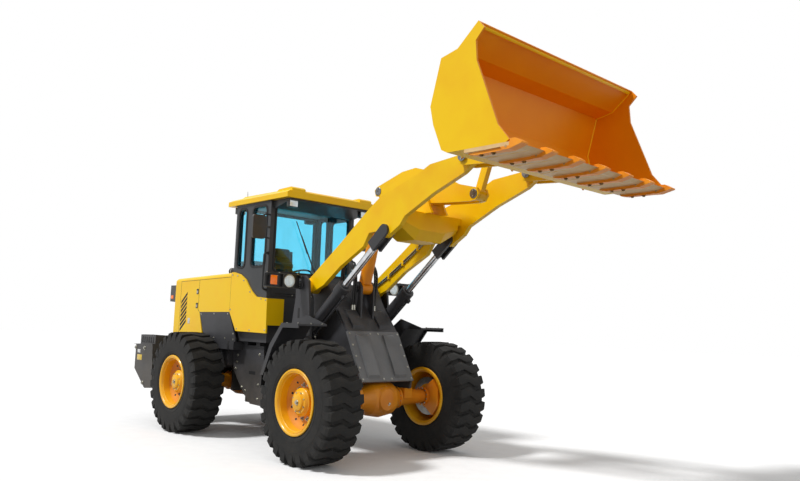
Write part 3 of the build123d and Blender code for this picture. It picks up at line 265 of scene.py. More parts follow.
def bucket_paint(name, outside, inside):
    """Yellow enamel, with painted shade: a deeper orange inside the bucket and on its faces that look ahead.
    """
    overhang = 3.4  # height from which faces that look down are the inside of the shell
    material, tree, where = begin(name)
    way = add(tree, SPLIT, {"Vector": add(tree, "ShaderNodeTexCoord", take="Normal")}, None)
    place = add(tree, SPLIT, {"Vector": where}, None)
    ahead = add(tree, MATH, {0: way["X"], 1: 0.2}, operation="GREATER_THAN")
    inward = add(tree, MATH, {0: way["Y"], 1: place["Y"]}, operation="MULTIPLY")
    cheek = add(tree, MATH, {0: inward, 1: -0.9}, operation="LESS_THAN")
    down = add(tree, MATH, {0: way["Z"], 1: -0.3}, operation="LESS_THAN")
    high = add(tree, MATH, {0: place["Z"], 1: overhang}, operation="GREATER_THAN")
    roof = add(tree, MATH, {0: down, 1: high}, operation="MULTIPLY")
    # painted shade on faces that look ahead, on the cheeks' inner faces and under the shell's roof
    painted_shade_mask = add(tree, MATH, {0: ahead, 1: cheek}, operation="MAXIMUM")
    painted_shade_mask = add(tree, MATH, {0: painted_shade_mask, 1: roof}, operation="MAXIMUM")
    cloud = add(tree, NOISE, {"Vector": where, "Scale": 1.6, "Detail": 4.0})
    fresh = add(tree, RAMP, {"Fac": cloud}, stops=((0.3, linear("#FAC000")), (0.55, linear(outside))))
    painted_shade_tone = add(tree, RAMP, {"Fac": cloud}, stops=((0.3, linear("#EE8E00")), (0.7, linear(inside))))
    colour = add(tree, MIX, {0: painted_shade_mask, 6: fresh, 7: painted_shade_tone}, 2, data_type="RGBA")
    grain = add(tree, NOISE, {"Vector": where, "Scale": 250.0, "Detail": 1.0})
    inputs = {"Base Color": colour, "Roughness": 0.42, "Specular IOR Level": 0.3}
    return close(material, inputs, grain, 0.0004, 0.25)


FINISH = {}


def finish_list(colours):
    """Makes every finish of the machine, named for its real material."""
    even = (1, 1, 1)
    FINISH.update({
        # satin enamel: the body colour, warm in its own reflections
        "body enamel": paint("Sprayed enamel, body yellow", colours.body, "#FFC600", coat=0.06, dust=0.12),
        # the same enamel on the arms, a little more worn and matt
        "arm enamel": paint(
            "Sprayed enamel, arm yellow", colours.body, "#FBC000", 0.38, coat=0.05, dust=0.12
        ),
        # thick brushed paint: softer highlights on cast housings, earth low down
        "drive enamel": paint(
            "Brushed enamel on castings, orange", colours.drive, "#D97A00", 0.42, 7.0, 0.15, 0.4
        ),
        # smooth enamel with a clear gloss along the rim's rings
        "rim enamel": paint("Sprayed enamel, wheel yellow", colours.rim, "#F0A800", 0.36, 4.0, 0.25, 0.3),
        # painted shade: a duller and deeper orange on the dish, where it lies in the rim's shade
        "dish enamel": paint("Sprayed enamel, wheel dish", "#F09A00", "#DD8200", 0.42, 4.0, 0.15, 0.35),
        # textured powder coat hides the plate's grain and scatters light softly
        "frame coat": paint("Powder coat, dark grey", colours.frame, "#2E2E30", 0.5, 6.0, 0.05, 0.45),
        # painted light: the frame's own coat in a paler grey on the sloping cover, so that the cover stands
        # off the frame
        "cover coat": paint("Powder coat, dark grey with painted light", "#6B6C6E", "#5C5D5F", 0.46, 6.0, 0.08, 0.4),
        # high on the machine, so with hardly any dust
        "cab coat": paint("Powder coat, cab grey", "#3A3C3F", "#313335", 0.45, 6.0, 0.1, 0.1),
        # painted iron casting: coarse sand grain under the paint
        "cast iron": paint("Painted iron casting", "#47484B", "#3A3B3D", 0.58, 14.0, 0.0, 0.5, 1.5),
        # rough iron under thin paint, dim and matt behind the panels
        "engine iron": paint("Grey iron, painted engine", "#4E5257", "#3E4145", 0.5, 10.0, 0.0, 0.2),
        # near black, with a faint tan film of dust
        "black coat": paint("Powder coat, black", "#1E1F21", "#151617", 0.5, 6.0, 0.05, 0.3, 1.6),
        # polished hard chrome mirrors its surroundings in a narrow streak
        "chrome": metal("Hard chrome, ground", "#D9DBDE", "#C4C7CB", 0.12, 1.0, 1.0, even, 0.00005),
        # bright rods that end in a painted fork or eye; reach is from the foot pin to the paint
        "lift rod": part_painted("Chromed rod with black fork", LIFT_FOOT, LIFT_EYE, 1.642, "#232427"),
        "tilt rod": part_painted("Chromed rod with yellow eye", TILT_FOOT, TILT_EYE, 1.110, "#F0A800"),
        # passivated zinc: pale and slightly warm, with drawn streaks
        "zinc": metal("Zinc-plated steel", "#B4B2A8", "#8F8D84", 0.34),
        # yellow outside, and a deeper orange as painted shade inside the bucket and on faces that look ahead
        "bucket enamel": bucket_paint("Sprayed enamel, painted shade inside", colours.body, "#F69C00"),
        # blade worn to a tan steel, under castings in an orange that is partly their paint and partly painted
        # shade
        "blade and teeth": tooth_paint("Cast teeth on worn blade", "#EBC78F", "#FFA010"),
        # wear steel burnished by earth, tan dust in its hollows
        "wear steel": metal(
            "Abrasion-resistant steel, worn", "#CFA873", "#A9814C", 0.5, 0.25, 4.0, (1, 8, 1), 0.0008
        ),
        # ground faces: grey, with a broad soft streak
        "brake steel": metal("Ground steel brake disc", "#8E8C88", "#6E6C68", 0.35),
        "pin steel": metal("Machined steel pin", "#8A8B8D", "#66676A", 0.3),
        # soft black rubbers that take dust; hose and seal stay darker
        "tyre": rubber("Tread rubber", "#141414", "#2B2926", 0.82, 5.0),
        "hose": rubber("Hydraulic hose rubber", "#101011", "#1C1B1A", 0.55, 2.5, 0.5),
        "seal": rubber("EPDM seal rubber", "#0E0E0F", "#191919", 0.6, 2.0, 0.5),
        # grained plastics: an even sheen broken up by the grain
        "cab plastic": moulded("Grained ABS, charcoal", "#2A2B2D"),
        "lamp plastic": moulded("ABS lamp housing, black", "#19191A", 0.4, 2.0, 0.2),
        "grip": moulded("Soft PVC grip", "#141414", 0.65, 2.5),
        "panel": moulded("ABS panel, light grey", "#A9ACAE", 0.5),
        # vapour-coated mirror behind the lamps' lenses
        "reflector": metal("Aluminised reflector", "#E6E8EA", "#D4D6D8", 0.08, 1.0, 2.0, even, 0.0001),
        # clear or tinted plastic that breaks light up in its prisms, with a faint painted glow though no lamp
        # is lit
        "clear lens": lens("Polycarbonate lens, clear", "#EAF2F4", 0.15, 10.0, 0.6),
        "amber lens": lens("Polycarbonate lens, amber", "#FF7A0A", 0.3, 8.0, 0.2),
        "red lens": lens("Polycarbonate lens, red", "#C81414", 0.15, 8.0, 0.2),
        # green-blue tint that shows most at the panes' edges
        "glass": glazing("Tempered glass, blue-green", colours.glass),
        # an almost perfect reflection
        "mirror": metal("Silvered mirror glass", "#E8EAEC", "#DDE0E3", 0.03, 1.0, 5.0, even, 0.00002),
        # a dark sheet whose holes are painted darker, as painted shade
        "grille mesh": perforated("Perforated steel, black", "#2B2B2C", "#060606", 12.0),
        # matt cloth with a soft sheen at grazing angles
        "seat cloth": cloth("Woven polyester, dark grey", "#3A3B3F", "#1E1F22"),
        # baked enamel: flat colour under a glossy coat
        "blank plate": moulded("Enamelled steel plate, white", "#DADAD6", 0.3, 9.0, 0.3),
        "yellow plate": moulded("Enamelled steel plate, yellow", "#E8C21A", 0.3, 9.0, 0.3),
    })


# finish, and the nodes of the frame that take it
NODE_FINISH = {
    "body enamel": "hood side_fairings cab_roof",
    "arm enamel": "boom bellcrank tilt_link",
    "bucket enamel": "bucket",
    "blade and teeth": "bucket_teeth",
    "drive enamel": "tilt_barrel front_axle rear_axle front_shaft rear_shaft",
    "frame coat": "rear_frame front_frame front_fenders side_panels side_tanks platform "
    "lift_barrel_left lift_barrel_right steer_barrel_left steer_barrel_right",
    "cast iron": "counterweight",
    "cab coat": "cab_frame cab_door",
    "cover coat": "front_cover",
    "lamp plastic": "mirrors headlamps rear_lamps",
    "black coat": "rear_grille air_cleaner exhaust",
    "engine iron": "engine transmission",
    "lift rod": "lift_rod_left lift_rod_right",
    "tilt rod": "tilt_rod",
    "chrome": "steer_rod_left steer_rod_right",
    "pin steel": "bucket_pins crank_pin link_pin",
    "cab plastic": "console",
    "grip": "steering_wheel",
    "glass": "cab_windows door_window",
}


# ------------------------------------------------------------------ shapes
def bevel(bm, geom, width, affect="EDGES", segments=2, clamp=True):
    """Rounds edges or corners."""
    form = {"affect": affect, "segments": segments, "profile": 0.5, "clamp_overlap": clamp}
    bmesh.ops.bevel(bm, geom=geom, offset=width, material=-1, **form)


def edges_of(bm, verts):
    """The edges between these vertices."""
    chosen = set(verts)
    return [e for e in bm.edges if e.verts[0] in chosen and e.verts[1] in chosen]


def grow(bm, faces, push):
    """Extrudes faces by push. Returns the vertices of the far end."""
    grown = bmesh.ops.extrude_face_region(bm, geom=faces)["geom"]
    top = [v for v in grown if isinstance(v, bmesh.types.BMVert)]
    bmesh.ops.translate(bm, vec=push, verts=top)
    return top


def around(axis, count, shift=0.0, first=Z):
    """Directions spread evenly round an axis, from first on."""
    return [Matrix.Rotation(math.tau * (n + shift) / count, 4, axis) @ first for n in range(count)]


def block(bm, low, high, edge=0.0, turn=None):
    """A box between two corners, turned about its middle and with rounded edges."""
    low, high = Vector(low), Vector(high)
    made = bmesh.ops.create_cube(bm, size=1.0)["verts"]
    bmesh.ops.scale(bm, vec=[abs(c) for c in high - low], verts=made)
    if turn is not None:
        bmesh.ops.transform(bm, matrix=turn, verts=made)
    bmesh.ops.translate(bm, vec=(low + high) / 2, verts=made)
    if edge:
        bevel(bm, edges_of(bm, made), edge)


def stem(bm, start_point, end_point, radius, tip=None, sides=24, edge=0.0):
    """A round bar or a cone between two points."""
    run = end_point - start_point
    turn = run.to_track_quat("Z", "Y").to_matrix().to_4x4()
    place = Matrix.Translation((start_point + end_point) / 2) @ turn
    tip = radius if tip is None else tip
    made = bmesh.ops.create_cone(
        bm, cap_ends=True, segments=sides, radius1=radius, radius2=tip, depth=run.length, matrix=place
    )["verts"]
    if edge:
        way = run.normalized()
        lines = edges_of(bm, made)
        rims = [e for e in lines if abs((e.verts[0].co - e.verts[1].co).normalized().dot(way)) < 0.2]
        bevel(bm, rims, edge, clamp=False)


def lathe(bm, profile, centre, axis, steps=64, closed=True):
    """Spins a profile of (distance along the axis, radius) in millimetres."""
    side = axis.orthogonal().normalized()
    made = [bm.verts.new(centre + axis * (a / 1000) + side * (r / 1000)) for a, r in profile]
    pairs = list(zip(made, made[1:])) + ([(made[-1], made[0])] if closed else [])
    lines = [bm.edges.new(pair) for pair in pairs]
    turn = {"cent": centre, "axis": axis, "angle": math.tau, "steps": steps}
    bmesh.ops.spin(bm, geom=made + lines, use_merge=True, use_duplicate=False, **turn)
    bmesh.ops.remove_doubles(bm, verts=bm.verts, dist=1e-6)


def slab(bm, points, push, edge=0.0):
    """A flat outline pushed into a plate."""
    corners = [bm.verts.new(p) for p in points]
    top = grow(bm, [bm.faces.new(corners)], push)
    if edge:
        bevel(bm, edges_of(bm, corners + top), edge)


def plate(bm, outline, y, push, edge=0.0):
    """A slab whose outline of (station, height) stands in one upright plane."""
    slab(bm, [at(x, y, z) for x, z in outline], push, edge)


def pipe(bm, points, radius, smoothness=6):
    """A bent round tube whose line is one smooth curve through its control points."""
    curve = bpy.data.curves.new("run", "CURVE")
    curve.dimensions = "3D"
    spline = curve.splines.new("NURBS")
    spline.points.add(len(points) - 1)
    for point, place in zip(spline.points, points):
        point.co = (*place, 1.0)
    spline.order_u = min(3, len(points))
    spline.use_endpoint_u = True
    curve.resolution_u = smoothness
    curve.bevel_depth = radius
    curve.bevel_resolution = 4
    curve.use_fill_caps = True
    holder = bpy.data.objects.new("run", curve)
    mesh = bpy.data.meshes.new_from_object(holder)
    bm.from_mesh(mesh)
    bpy.data.objects.remove(holder)
    bpy.data.curves.remove(curve)
    bpy.data.meshes.remove(mesh)
    bmesh.ops.remove_doubles(bm, verts=bm.verts, dist=1e-6)


def rounded(bm, centre, across, up, width, height, radius):
    """A flat rectangle with round corners. Returns its face."""
    signs = ((-1, -1), (1, -1), (1, 1), (-1, 1))
    corners = [bm.verts.new(centre + across * (sx * width / 2) + up * (sz * height / 2)) for sx, sz in signs]
    face = bm.faces.new(corners)
    before = set(bm.faces) - {face}
    bevel(bm, corners, radius, "VERTICES", 5, clamp=False)
    return max((f for f in bm.faces if f not in before), key=lambda f: len(f.verts))


def gasket(bm, centre, across, up, width, height, radius, band, depth):
    """A seal round an opening with rounded corners; depth grows along across x up."""
    face = rounded(bm, centre, across, up, width + 2 * band, height + 2 * band, radius + band)
    bmesh.ops.inset_region(bm, faces=[face], thickness=band * 1.6, use_even_offset=True, use_boundary=True)
    ring = {f for e in face.edges for f in e.link_faces if f is not face}
    bmesh.ops.delete(bm, geom=[face], context="FACES_ONLY")
    grow(bm, list(ring), across.cross(up).normalized() * depth)


def bolt(bm, place, axis, size_mm, washer=True):
    """A hexagon head on its washer, standing out along axis."""
    size = size_mm / 1000
    if washer:
        stem(bm, place - axis * 0.001, place + axis * 0.1 * size, size * 0.85, sides=16)
    stem(bm, place, place + axis * size * 0.55, size * 0.56, sides=6, edge=size * 0.05)


def bolts(bm, spots, y, axis, size_mm):
    """Bolts at (station, height) spots of one upright plane."""
    for x, z in spots:
        bolt(bm, at(x, y, z), axis, size_mm)


def some(count):
    """New empty meshes, one for each finish of a piece."""
    return [bmesh.new() for _ in range(count)]


def finish(name, body, *parts, replaces=(), slot=None, limit=0.6):
    """Joins (finish, bmesh) parts into one piece that rides on a body."""
    whole = bmesh.new()
    mesh = bpy.data.meshes.new(name)
    for index, (look, bm) in enumerate(parts):
        bmesh.ops.recalc_face_normals(bm, faces=bm.faces)
        for face in bm.faces:
            face.material_index = index
            face.smooth = True
        for edge in bm.edges:
            edge.smooth = len(edge.link_faces) == 2 and edge.calc_face_angle(0.0) < limit
        part = bpy.data.meshes.new("part")
        bm.to_mesh(part)
        bm.free()
        whole.from_mesh(part)
        bpy.data.meshes.remove(part)
        mesh.materials.append(FINISH[look])
    whole.to_mesh(mesh)
    whole.free()
    piece = bpy.data.objects.new(name, mesh)
    bpy.context.scene.collection.objects.link(piece)
    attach(piece, body)
    if replaces:
        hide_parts(*replaces)


# ------------------------------------------------------------------ what a user can change
def hex_colour(name, description, default):
    """A colour, typed as sRGB hex."""
    return bpy.props.StringProperty(name=name, description=f"{description}, sRGB hex", default=default)


def length(name, description, default):
    """A length, shown in the scene's units."""
    return bpy.props.FloatProperty(
        name=name, description=description, default=default, unit="LENGTH", subtype="DISTANCE"
    )


class LoaderColours(bpy.types.PropertyGroup):
    """Hex colours of the paints and the glass"""

    body: hex_colour("Body", "Body and arm paint", "#FFCF00")
    drive: hex_colour("Drive", "Axle and shaft paint", "#F49A00")
    rim: hex_colour("Wheels", "Wheel rim paint", "#FFBE00")
    frame: hex_colour("Frame", "Frame and fender coat", "#3B3B3E")
    glass: hex_colour("Glass", "Tint of the cab glass", "#9BE8FA")


class LoaderSizes(bpy.types.PropertyGroup):
    """Sizes of the detail pieces"""

    lugs: bpy.props.IntProperty(name="Tyre lugs", description="Bars round each tyre", default=26, min=8)
    lug_edge: length("Lug edge", "Rounding of a lug's edges", 0.006)
    wheel_nuts: bpy.props.IntProperty(name="Wheel nuts", description="Nuts on each wheel", default=12, min=4)
    seal_band: length("Window seal", "Width of the seal round a window", 0.018)
    hose_radius: length("Hose radius", "Radius of the hydraulic hoses", 0.013)
    rail_radius: length("Rail radius", "Radius of the grab rails", 0.014)
    cushion_rise: length("Cushion swell", "Most that the seat cushions swell", 0.016)


class LOADER_OT_finishes(bpy.types.Operator):
    """Makes every finish and gives the frame's own parts theirs"""

    bl_idname = "loader.finishes"
    bl_label = "Paint and finishes"

    def execute(self, context):
        finish_list(context.scene.loader_colours)
        for look, nodes in NODE_FINISH.items():
            for node in nodes.split():
                mesh = frame["nodes"][node].data
                mesh.materials.clear()
                mesh.materials.append(FINISH[look])
        return {"FINISHED"}


# ------------------------------------------------------------------ wheels
def wheel_centre(wheel):
    """The middle of a wheel's tyre."""
    low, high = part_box(f"tyre_{wheel}")
    return (low + high) / 2


# across the tread and radius, round the carcass from bead to bead
CARCASS = (
    (-197, 321), (-202, 356), (-214, 374), (-217, 378), (-220, 402), (-222, 440), (-222, 500), (-219, 545),
    (-210, 592), (-190, 626), (-150, 636), (0, 638), (150, 636), (190, 626), (210, 592), (219, 545),
    (222, 500), (222, 440), (220, 402), (217, 378), (214, 374), (202, 356), (197, 321),
)  # fmt: skip
# middle line of a tread bar: across and along, a zigzag from shoulder to shoulder
BAR_LINE = (
    (-221, 12), (-205, 8), (-178, 0), (-118, -16), (-55, -30),
    (55, 30), (118, 16), (178, 0), (205, -8), (221, -12),
)  # fmt: skip
BAR_HALF = 53  # half of a bar's width along the tread
# up to this distance across the tread: drop of a bar's top, radius of its foot
SHOULDER = ((180, 0, 628), (210, 11, 592), (math.inf, 46, 540))
# rings moulded on the sidewall: across and radius
SIDEWALL = (
    ((217, 398), (222.4, 402), (222.4, 408), (217, 412)),
    ((216, 506), (222.4, 509), (222.4, 514), (216, 517)),
)


def tread_bar(bm, edge):
    """One bar of the tread, bent round the tyre and stepped down over the shoulders."""
    corners = [bm.verts.new((along - BAR_HALF, over, 0)) for over, along in BAR_LINE]
    corners += [bm.verts.new((along + BAR_HALF, over, 0)) for over, along in reversed(BAR_LINE)]
    steps = range(len(BAR_LINE) - 1)
    faces = [bm.faces.new((corners[n], corners[n + 1], corners[-n - 2], corners[-n - 1])) for n in steps]
    grown = bmesh.ops.extrude_face_region(bm, geom=faces, use_keep_orig=True)["geom"]
    top = {v for v in grown if isinstance(v, bmesh.types.BMVert)}
    bmesh.ops.recalc_face_normals(bm, faces=bm.faces)
    for v in bm.verts:
        over = abs(v.co.y)
        drop, foot = next((drop, foot) for limit, drop, foot in SHOULDER if over < limit)
        radius = TYRE_R * 1000 - drop if v in top else foot
        # the bar's ends are a little narrower
        angle = v.co.x * (1.0 if over < 200 else 0.86) / (TYRE_R * 1000)
        v.co = Vector((radius * math.sin(angle), v.co.y, radius * math.cos(angle))) / 1000
    rim = [e for e in bm.edges if e.verts[0] in top or e.verts[1] in top]
    bevel(bm, [e for e in rim if len(e.link_faces) == 2 and e.calc_face_angle(0.0) > 0.6], edge)


class LOADER_OT_tyres(bpy.types.Operator):
    """Makes the four tyres with their zigzag bars and sidewall rings"""

    bl_idname = "loader.tyres"
    bl_label = "Tyres"

    def execute(self, context):
        sizes = context.scene.loader_sizes
        whole = bmesh.new()
        lathe(whole, CARCASS, Vector(), Y, 104)
        for hand in SIDES:
            for ring in SIDEWALL:
                lathe(whole, [(hand * across, radius) for across, radius in ring], Vector(), Y, 72)
        bar = bmesh.new()
        tread_bar(bar, sizes.lug_edge)
        shape = bpy.data.meshes.new("bar")
        bar.to_mesh(shape)
        bar.free()
        for n in range(sizes.lugs):
            part = bmesh.new()
            part.from_mesh(shape)
            turn = Matrix.Rotation(math.tau * n / sizes.lugs, 3, "Y")
            bmesh.ops.rotate(part, cent=(0, 0, 0), matrix=turn, verts=part.verts)
            turned = bpy.data.meshes.new("turned")
            part.to_mesh(turned)
            part.free()
            whole.from_mesh(turned)
            bpy.data.meshes.remove(turned)
        bpy.data.meshes.remove(shape)
        for wheel in WHEELS:
            own = whole.copy()
            bmesh.ops.translate(own, vec=wheel_centre(wheel), verts=own.verts)
            finish(
                f"tread_{wheel}",
                f"wheel_{wheel}",
                ("tyre", own),
                replaces=(f"tyre_{wheel}",),
                slot="tyre_rubber",
            )
        whole.free()
        return {"FINISHED"}


# across the wheel and radius: gutter and flanges, with the lock ring outboard
RIM_BARREL = (
    (76, 297), (-200, 298), (-214, 318), (-219, 330), (-219.5, 346), (-214, 351.5), (-205, 351.5),
    (-200, 345), (-199, 321), (-197, 319.5), (197, 319.5), (199, 321), (200, 345), (205, 351.5),
    (214, 351.5), (219.5, 346), (219, 330), (213, 322), (208, 318), (206, 310), (198, 305), (186, 303),
    (182, 298), (120, 294), (100, 291), (84, 290),
)  # fmt: skip
LOCK_RING = ((205, 309), (211, 311), (214, 316), (211, 320), (203, 320))
RIM_DISH = (
    (76, 296.5), (80, 286), (62, 262), (38, 222), (31, 208), (31, 148),
    (52, 148), (52, 206), (58, 219), (83, 259), (99, 283), (103, 296.5),
)  # fmt: skip
HUB = (
    (-118, 0), (-118, 148), (30, 149.5), (117, 149.5), (122, 144), (124, 139), (146, 124),
    (151, 118), (151, 92), (158, 88), (168, 84), (172, 76), (172, 0),
)  # fmt: skip
BRAKE_DISC = ((-119.5, 148), (-119.5, 229), (-104.5, 229), (-104.5, 148))


class LOADER_OT_wheels(bpy.types.Operator):
    """Makes the rims with lock rings, hubs, nuts, dark discs of painted shade for the hand holes, and brake
    discs
    """

    bl_idname = "loader.wheels"
    bl_label = "Rims and hubs"

    def execute(self, context):
        nut_circle, hole_circle, hub_circle = 0.183, 0.240, 0.105
        for wheel in WHEELS:
            centre = wheel_centre(wheel)
            out = Y if wheel.endswith("left") else -Y
            barrel, dish, hub, steel, dark, disc = some(6)
            lathe(barrel, RIM_BARREL, centre, out, 96)
            lathe(barrel, LOCK_RING, centre, out, 96)
            lathe(dish, RIM_DISH, centre, out, 96)
            lathe(hub, HUB, centre, out, 72, closed=False)
            lathe(disc, BRAKE_DISC, centre, out, 72)
            # nuts on their studs
            for spoke in around(out, context.scene.loader_sizes.wheel_nuts, 0.5):
                bolt(steel, centre + out * 0.0515 + spoke * nut_circle, out, 30)
                foot, head = (centre + out * reach + spoke * nut_circle for reach in (0.06, 0.082))
                stem(steel, foot, head, 0.010, sides=12)
            # small dark discs round the sloping part of the dish: painted shade standing for its holes
            for spoke in around(out, 10):
                tilt = (out * 0.83 - spoke * 0.55).normalized()
                place = centre + out * 0.0715 + spoke * hole_circle
                stem(dark, place - tilt * 0.004, place + tilt * 0.0015, 0.013, sides=20)
            for spoke in around(out, 8, 0.5):
                bolt(steel, centre + out * 0.1505 + spoke * hub_circle, out, 15, washer=False)
            # plug in the hub's cap
            bolt(steel, centre + out * 0.1715, out, 34)
            finish(
                f"wheel_{wheel}_rim",
                f"wheel_{wheel}",
                ("rim enamel", barrel),
                ("dish enamel", dish),
                ("rim enamel", hub),
                ("zinc", steel),
                ("seal", dark),
                ("brake steel", disc),
                replaces=(f"rim_{wheel}",),
                slot="rim_yellow",
                limit=0.5,
            )
        return {"FINISHED"}


class LOADER_OT_axles(bpy.types.Operator):
    """Makes the bolts, plugs and flanges of the axles and the front shaft"""

    bl_idname = "loader.axles"
    bl_label = "Axle fittings"

    def execute(self, context):
        cover = ((150, 0), (150, 148), (168, 148), (206, 120), (224, 60), (228, 0))
        # where the tubes bolt to the ball and to the hubs: distance from the middle, radius
        flanges = ((0.296, 0.127), (0.735, 0.112))
        for end in ("front", "rear"):
            middle = Vector((wheel_centre(f"{end}_left").x, 0, TYRE_R))
            steel, casting = some(2)
            if end == "front":
                # cover plate on the ball, its bolts and its plug
                lathe(casting, cover, middle, X, 48, closed=False)
                for spoke in around(X, 12):
                    bolt(steel, middle + X * 0.167 + spoke * 0.136, X, 15)
                bolt(steel, middle + X * 0.222 - Z * 0.04, X, 26)
            for hand in SIDES:
                for place, ring_r in flanges:
                    spot = middle + Y * (hand * place)
                    inner, outer = ring_r * 820, ring_r * 1000
                    lathe(casting, ((-14, inner), (-14, outer), (14, outer), (14, inner)), spot, Y, 40)
                    for spoke in around(Y, 12, 0.5):
                        bolt(steel, spot + spoke * (ring_r * 0.9) - Y * (hand * 0.014), -Y * hand, 12)
                # pad pins on the caliper
                caliper = Vector((middle.x, hand * 0.79, TYRE_R))
                for dz in (-0.07, 0.07):
                    bolt(steel, caliper + X * 0.262 + Z * dz, X, 18)
            finish(
                f"{end}_axle_fittings",
                f"{end}_body",
                ("drive enamel", casting),
                ("zinc", steel),
                slot="drive_paint",
            )
        joint_bm = bmesh.new()
        low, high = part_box("front_shaft")
        for x in (low.x + 0.02, high.x - 0.02):
            for spoke in around(X, 6):
                foot, head = (Vector((x + dx, 0, TYRE_R)) + spoke * 0.048 for dx in (-0.026, 0.026))
                stem(joint_bm, foot, head, 0.008, sides=6)
        finish("front_shaft_bolts", "front_body", ("zinc", joint_bm))
        return {"FINISHED"}


# ------------------------------------------------------------------ hydraulics and arms
def retainer(steel, cap, pin, y, hand):
    """A round keeper with two bolts and a grease nipple over the end of a pin."""
    out = Y * hand
    spot = at(pin[0], y, pin[1])
    lathe(cap, ((0, 0), (0, 50), (6, 50), (9, 46), (9, 0)), spot, out, 32, closed=False)
    for dz in (-0.028, 0.028):
        bolt(steel, spot + out * 0.009 + Z * dz, out, 13, washer=False)
    stem(steel, spot + out * 0.008, spot + out * 0.022, 0.006, 0.004, 10)


# name, body, pins, and for each end of a pin its distance from the middle and the way it faces
KEEPERS = (
    ("bucket_pin_keepers", "bucket_pins", (BUCKET_PIN,), ((615, 1), (385, -1))),
    ("crank_pin_keepers", "crank_pin", (CRANK_PIN,), ((150, 1),)),
    ("bellcrank_pin_keepers", "bellcrank", (TILT_EYE, LINK_PIN), ((85.2, 1),)),
)


class LOADER_OT_arms(bpy.types.Operator):
    """Makes the pin keepers, wear rings and pipes of the arms and linkage"""

    bl_idname = "loader.arms"
    bl_label = "Arm fittings"

    def execute(self, context):
        boss, steel, tower, tower_steel = some(4)
        for hand in SIDES:
            for pin in (ARM_PIN, LIFT_FOOT):
                retainer(tower_steel, tower, pin, hand * 648, hand)
            # wear rings on the faces of the lift cylinder's eye and of the arm's foot
            for face in SIDES:
                spot = at(LIFT_EYE[0], hand * 500, LIFT_EYE[1]) + Y * (face * 0.0302)
                lathe(boss, ((0, 46), (0, 78), (3, 78), (4, 74), (4, 46)), spot, Y * face, 40)
                spot = at(ARM_PIN[0], hand * 500, ARM_PIN[1]) + Y * (face * 0.0975)
                lathe(boss, ((-2, 52), (-2, 86), (2, 84), (2, 52)), spot, Y * face, 40)
            # formed steel pipes inside each arm, clipped at three places
            for drop in (0, 34):
                run = ((1050, 2105), (1300, 2265), (1560, 2435), (1780, 2590))
                first = at(800, hand * 459, 1985 + drop * 0.5)
                pipe(steel, [first] + [at(x, hand * 459, z + drop) for x, z in run], 0.009, smoothness=4)
            for x, z in ((1050, 2122), (1300, 2282), (1560, 2452)):
                block(boss, at(x - 16, hand * 470 - 24, z - 32), at(x + 16, hand * 470 + 1, z + 36), 0.004)
        finish("arm_fittings", "boom", ("arm enamel", boss), ("zinc", steel), slot="body_yellow")
        looks = (("frame coat", tower), ("zinc", tower_steel))
        finish("tower_pin_keepers", "front_body", *looks, slot="frame_grey")
        for name, body, pins, ends in KEEPERS:
            cap, steel = some(2)
            for hand in SIDES:
                for pin in pins:
                    for y, way in ends:
                        retainer(steel, cap, pin, hand * y, hand * way)
            finish(name, body, ("pin steel", cap), ("zinc", steel), slot="machined_steel")
        return {"FINISHED"}


# name, y, foot pin, eye, length of the barrel, radius, and whether its port is on the lower side
BARRELS = (
    ("lift_barrel_left", 500, LIFT_FOOT, LIFT_EYE, 1.0, 84, True),
    ("lift_barrel_right", -500, LIFT_FOOT, LIFT_EYE, 1.0, 84, True),
    ("tilt_barrel", 0, TILT_FOOT, TILT_EYE, 0.73, 89, False),
)


class LOADER_OT_cylinders(bpy.types.Operator):
    """Makes gland bolts, port fittings and hoses on the cylinders"""

    bl_idname = "loader.cylinders"
    bl_label = "Cylinder fittings"

    def execute(self, context):
        hose_r = context.scene.loader_sizes.hose_radius
        for name, y, base, eye, reach, radius, lower in BARRELS:
            foot, head = at(base[0], y, base[1]), at(eye[0], y, eye[1])
            way = (head - foot).normalized()
            side = way.cross(Y).normalized()
            if (side.z < 0) != lower:
                side = -side
            ring, steel, wiper = some(3)
            gland = ((-12, radius - 20), (-12, radius - 3), (-2, radius - 6), (-2, radius - 20))
            lathe(ring, gland, foot + way * (reach + 0.002), way, 48)
            for spoke in around(way, 8, 0.5, side):
                spot = foot + way * (reach - 0.012) + spoke * ((radius - 12) / 1000)
                bolt(steel, spot, way, 14, washer=False)
            # wiper ring where the rod comes out
            lathe(wiper, ((0, 41), (0, 52), (5, 50), (7, 41)), foot + way * reach, way, 40)
            # fitting on the port near the foot
            port = foot + way * 0.215 + side * ((radius + 26) / 1000)
            bolt(steel, port, side, 30)
            stem(steel, port + side * 0.010, port + side * 0.030, 0.012, sides=12)
            finish(
                f"{name}_fittings",
                name,
                ("frame coat" if lower else "drive enamel", ring),
                ("zinc", steel),
                ("seal", wiper),
                slot="frame_grey",
            )
        # hoses from the front frame's valve block to the foot of the tilt cylinder
        hoses, steel = some(2)
        for n, y in enumerate((-150, -185, 150, 185)):
            run = [
                at(905, y, 1700),
                at(905, y, 1980),
                at(905 + 6 * n, y * 1.02, 2200),
                at(1010, y * 1.05, 2275),
                at(1120, y, 2190),
                at(1150, y * 0.98, 2050),
                at(1135, y * 0.95, 1880),
                at(1120, y * 0.93, 1680),
            ]
            pipe(hoses, run, hose_r, smoothness=5)
            stem(steel, run[-1], run[-1] + Z * 0.06, hose_r * 1.35, sides=12)
            stem(steel, run[0], run[0] + Z * 0.05, hose_r * 1.35, sides=12)
        finish("tower_hoses", "front_body", ("hose", hoses), ("zinc", steel))
        return {"FINISHED"}


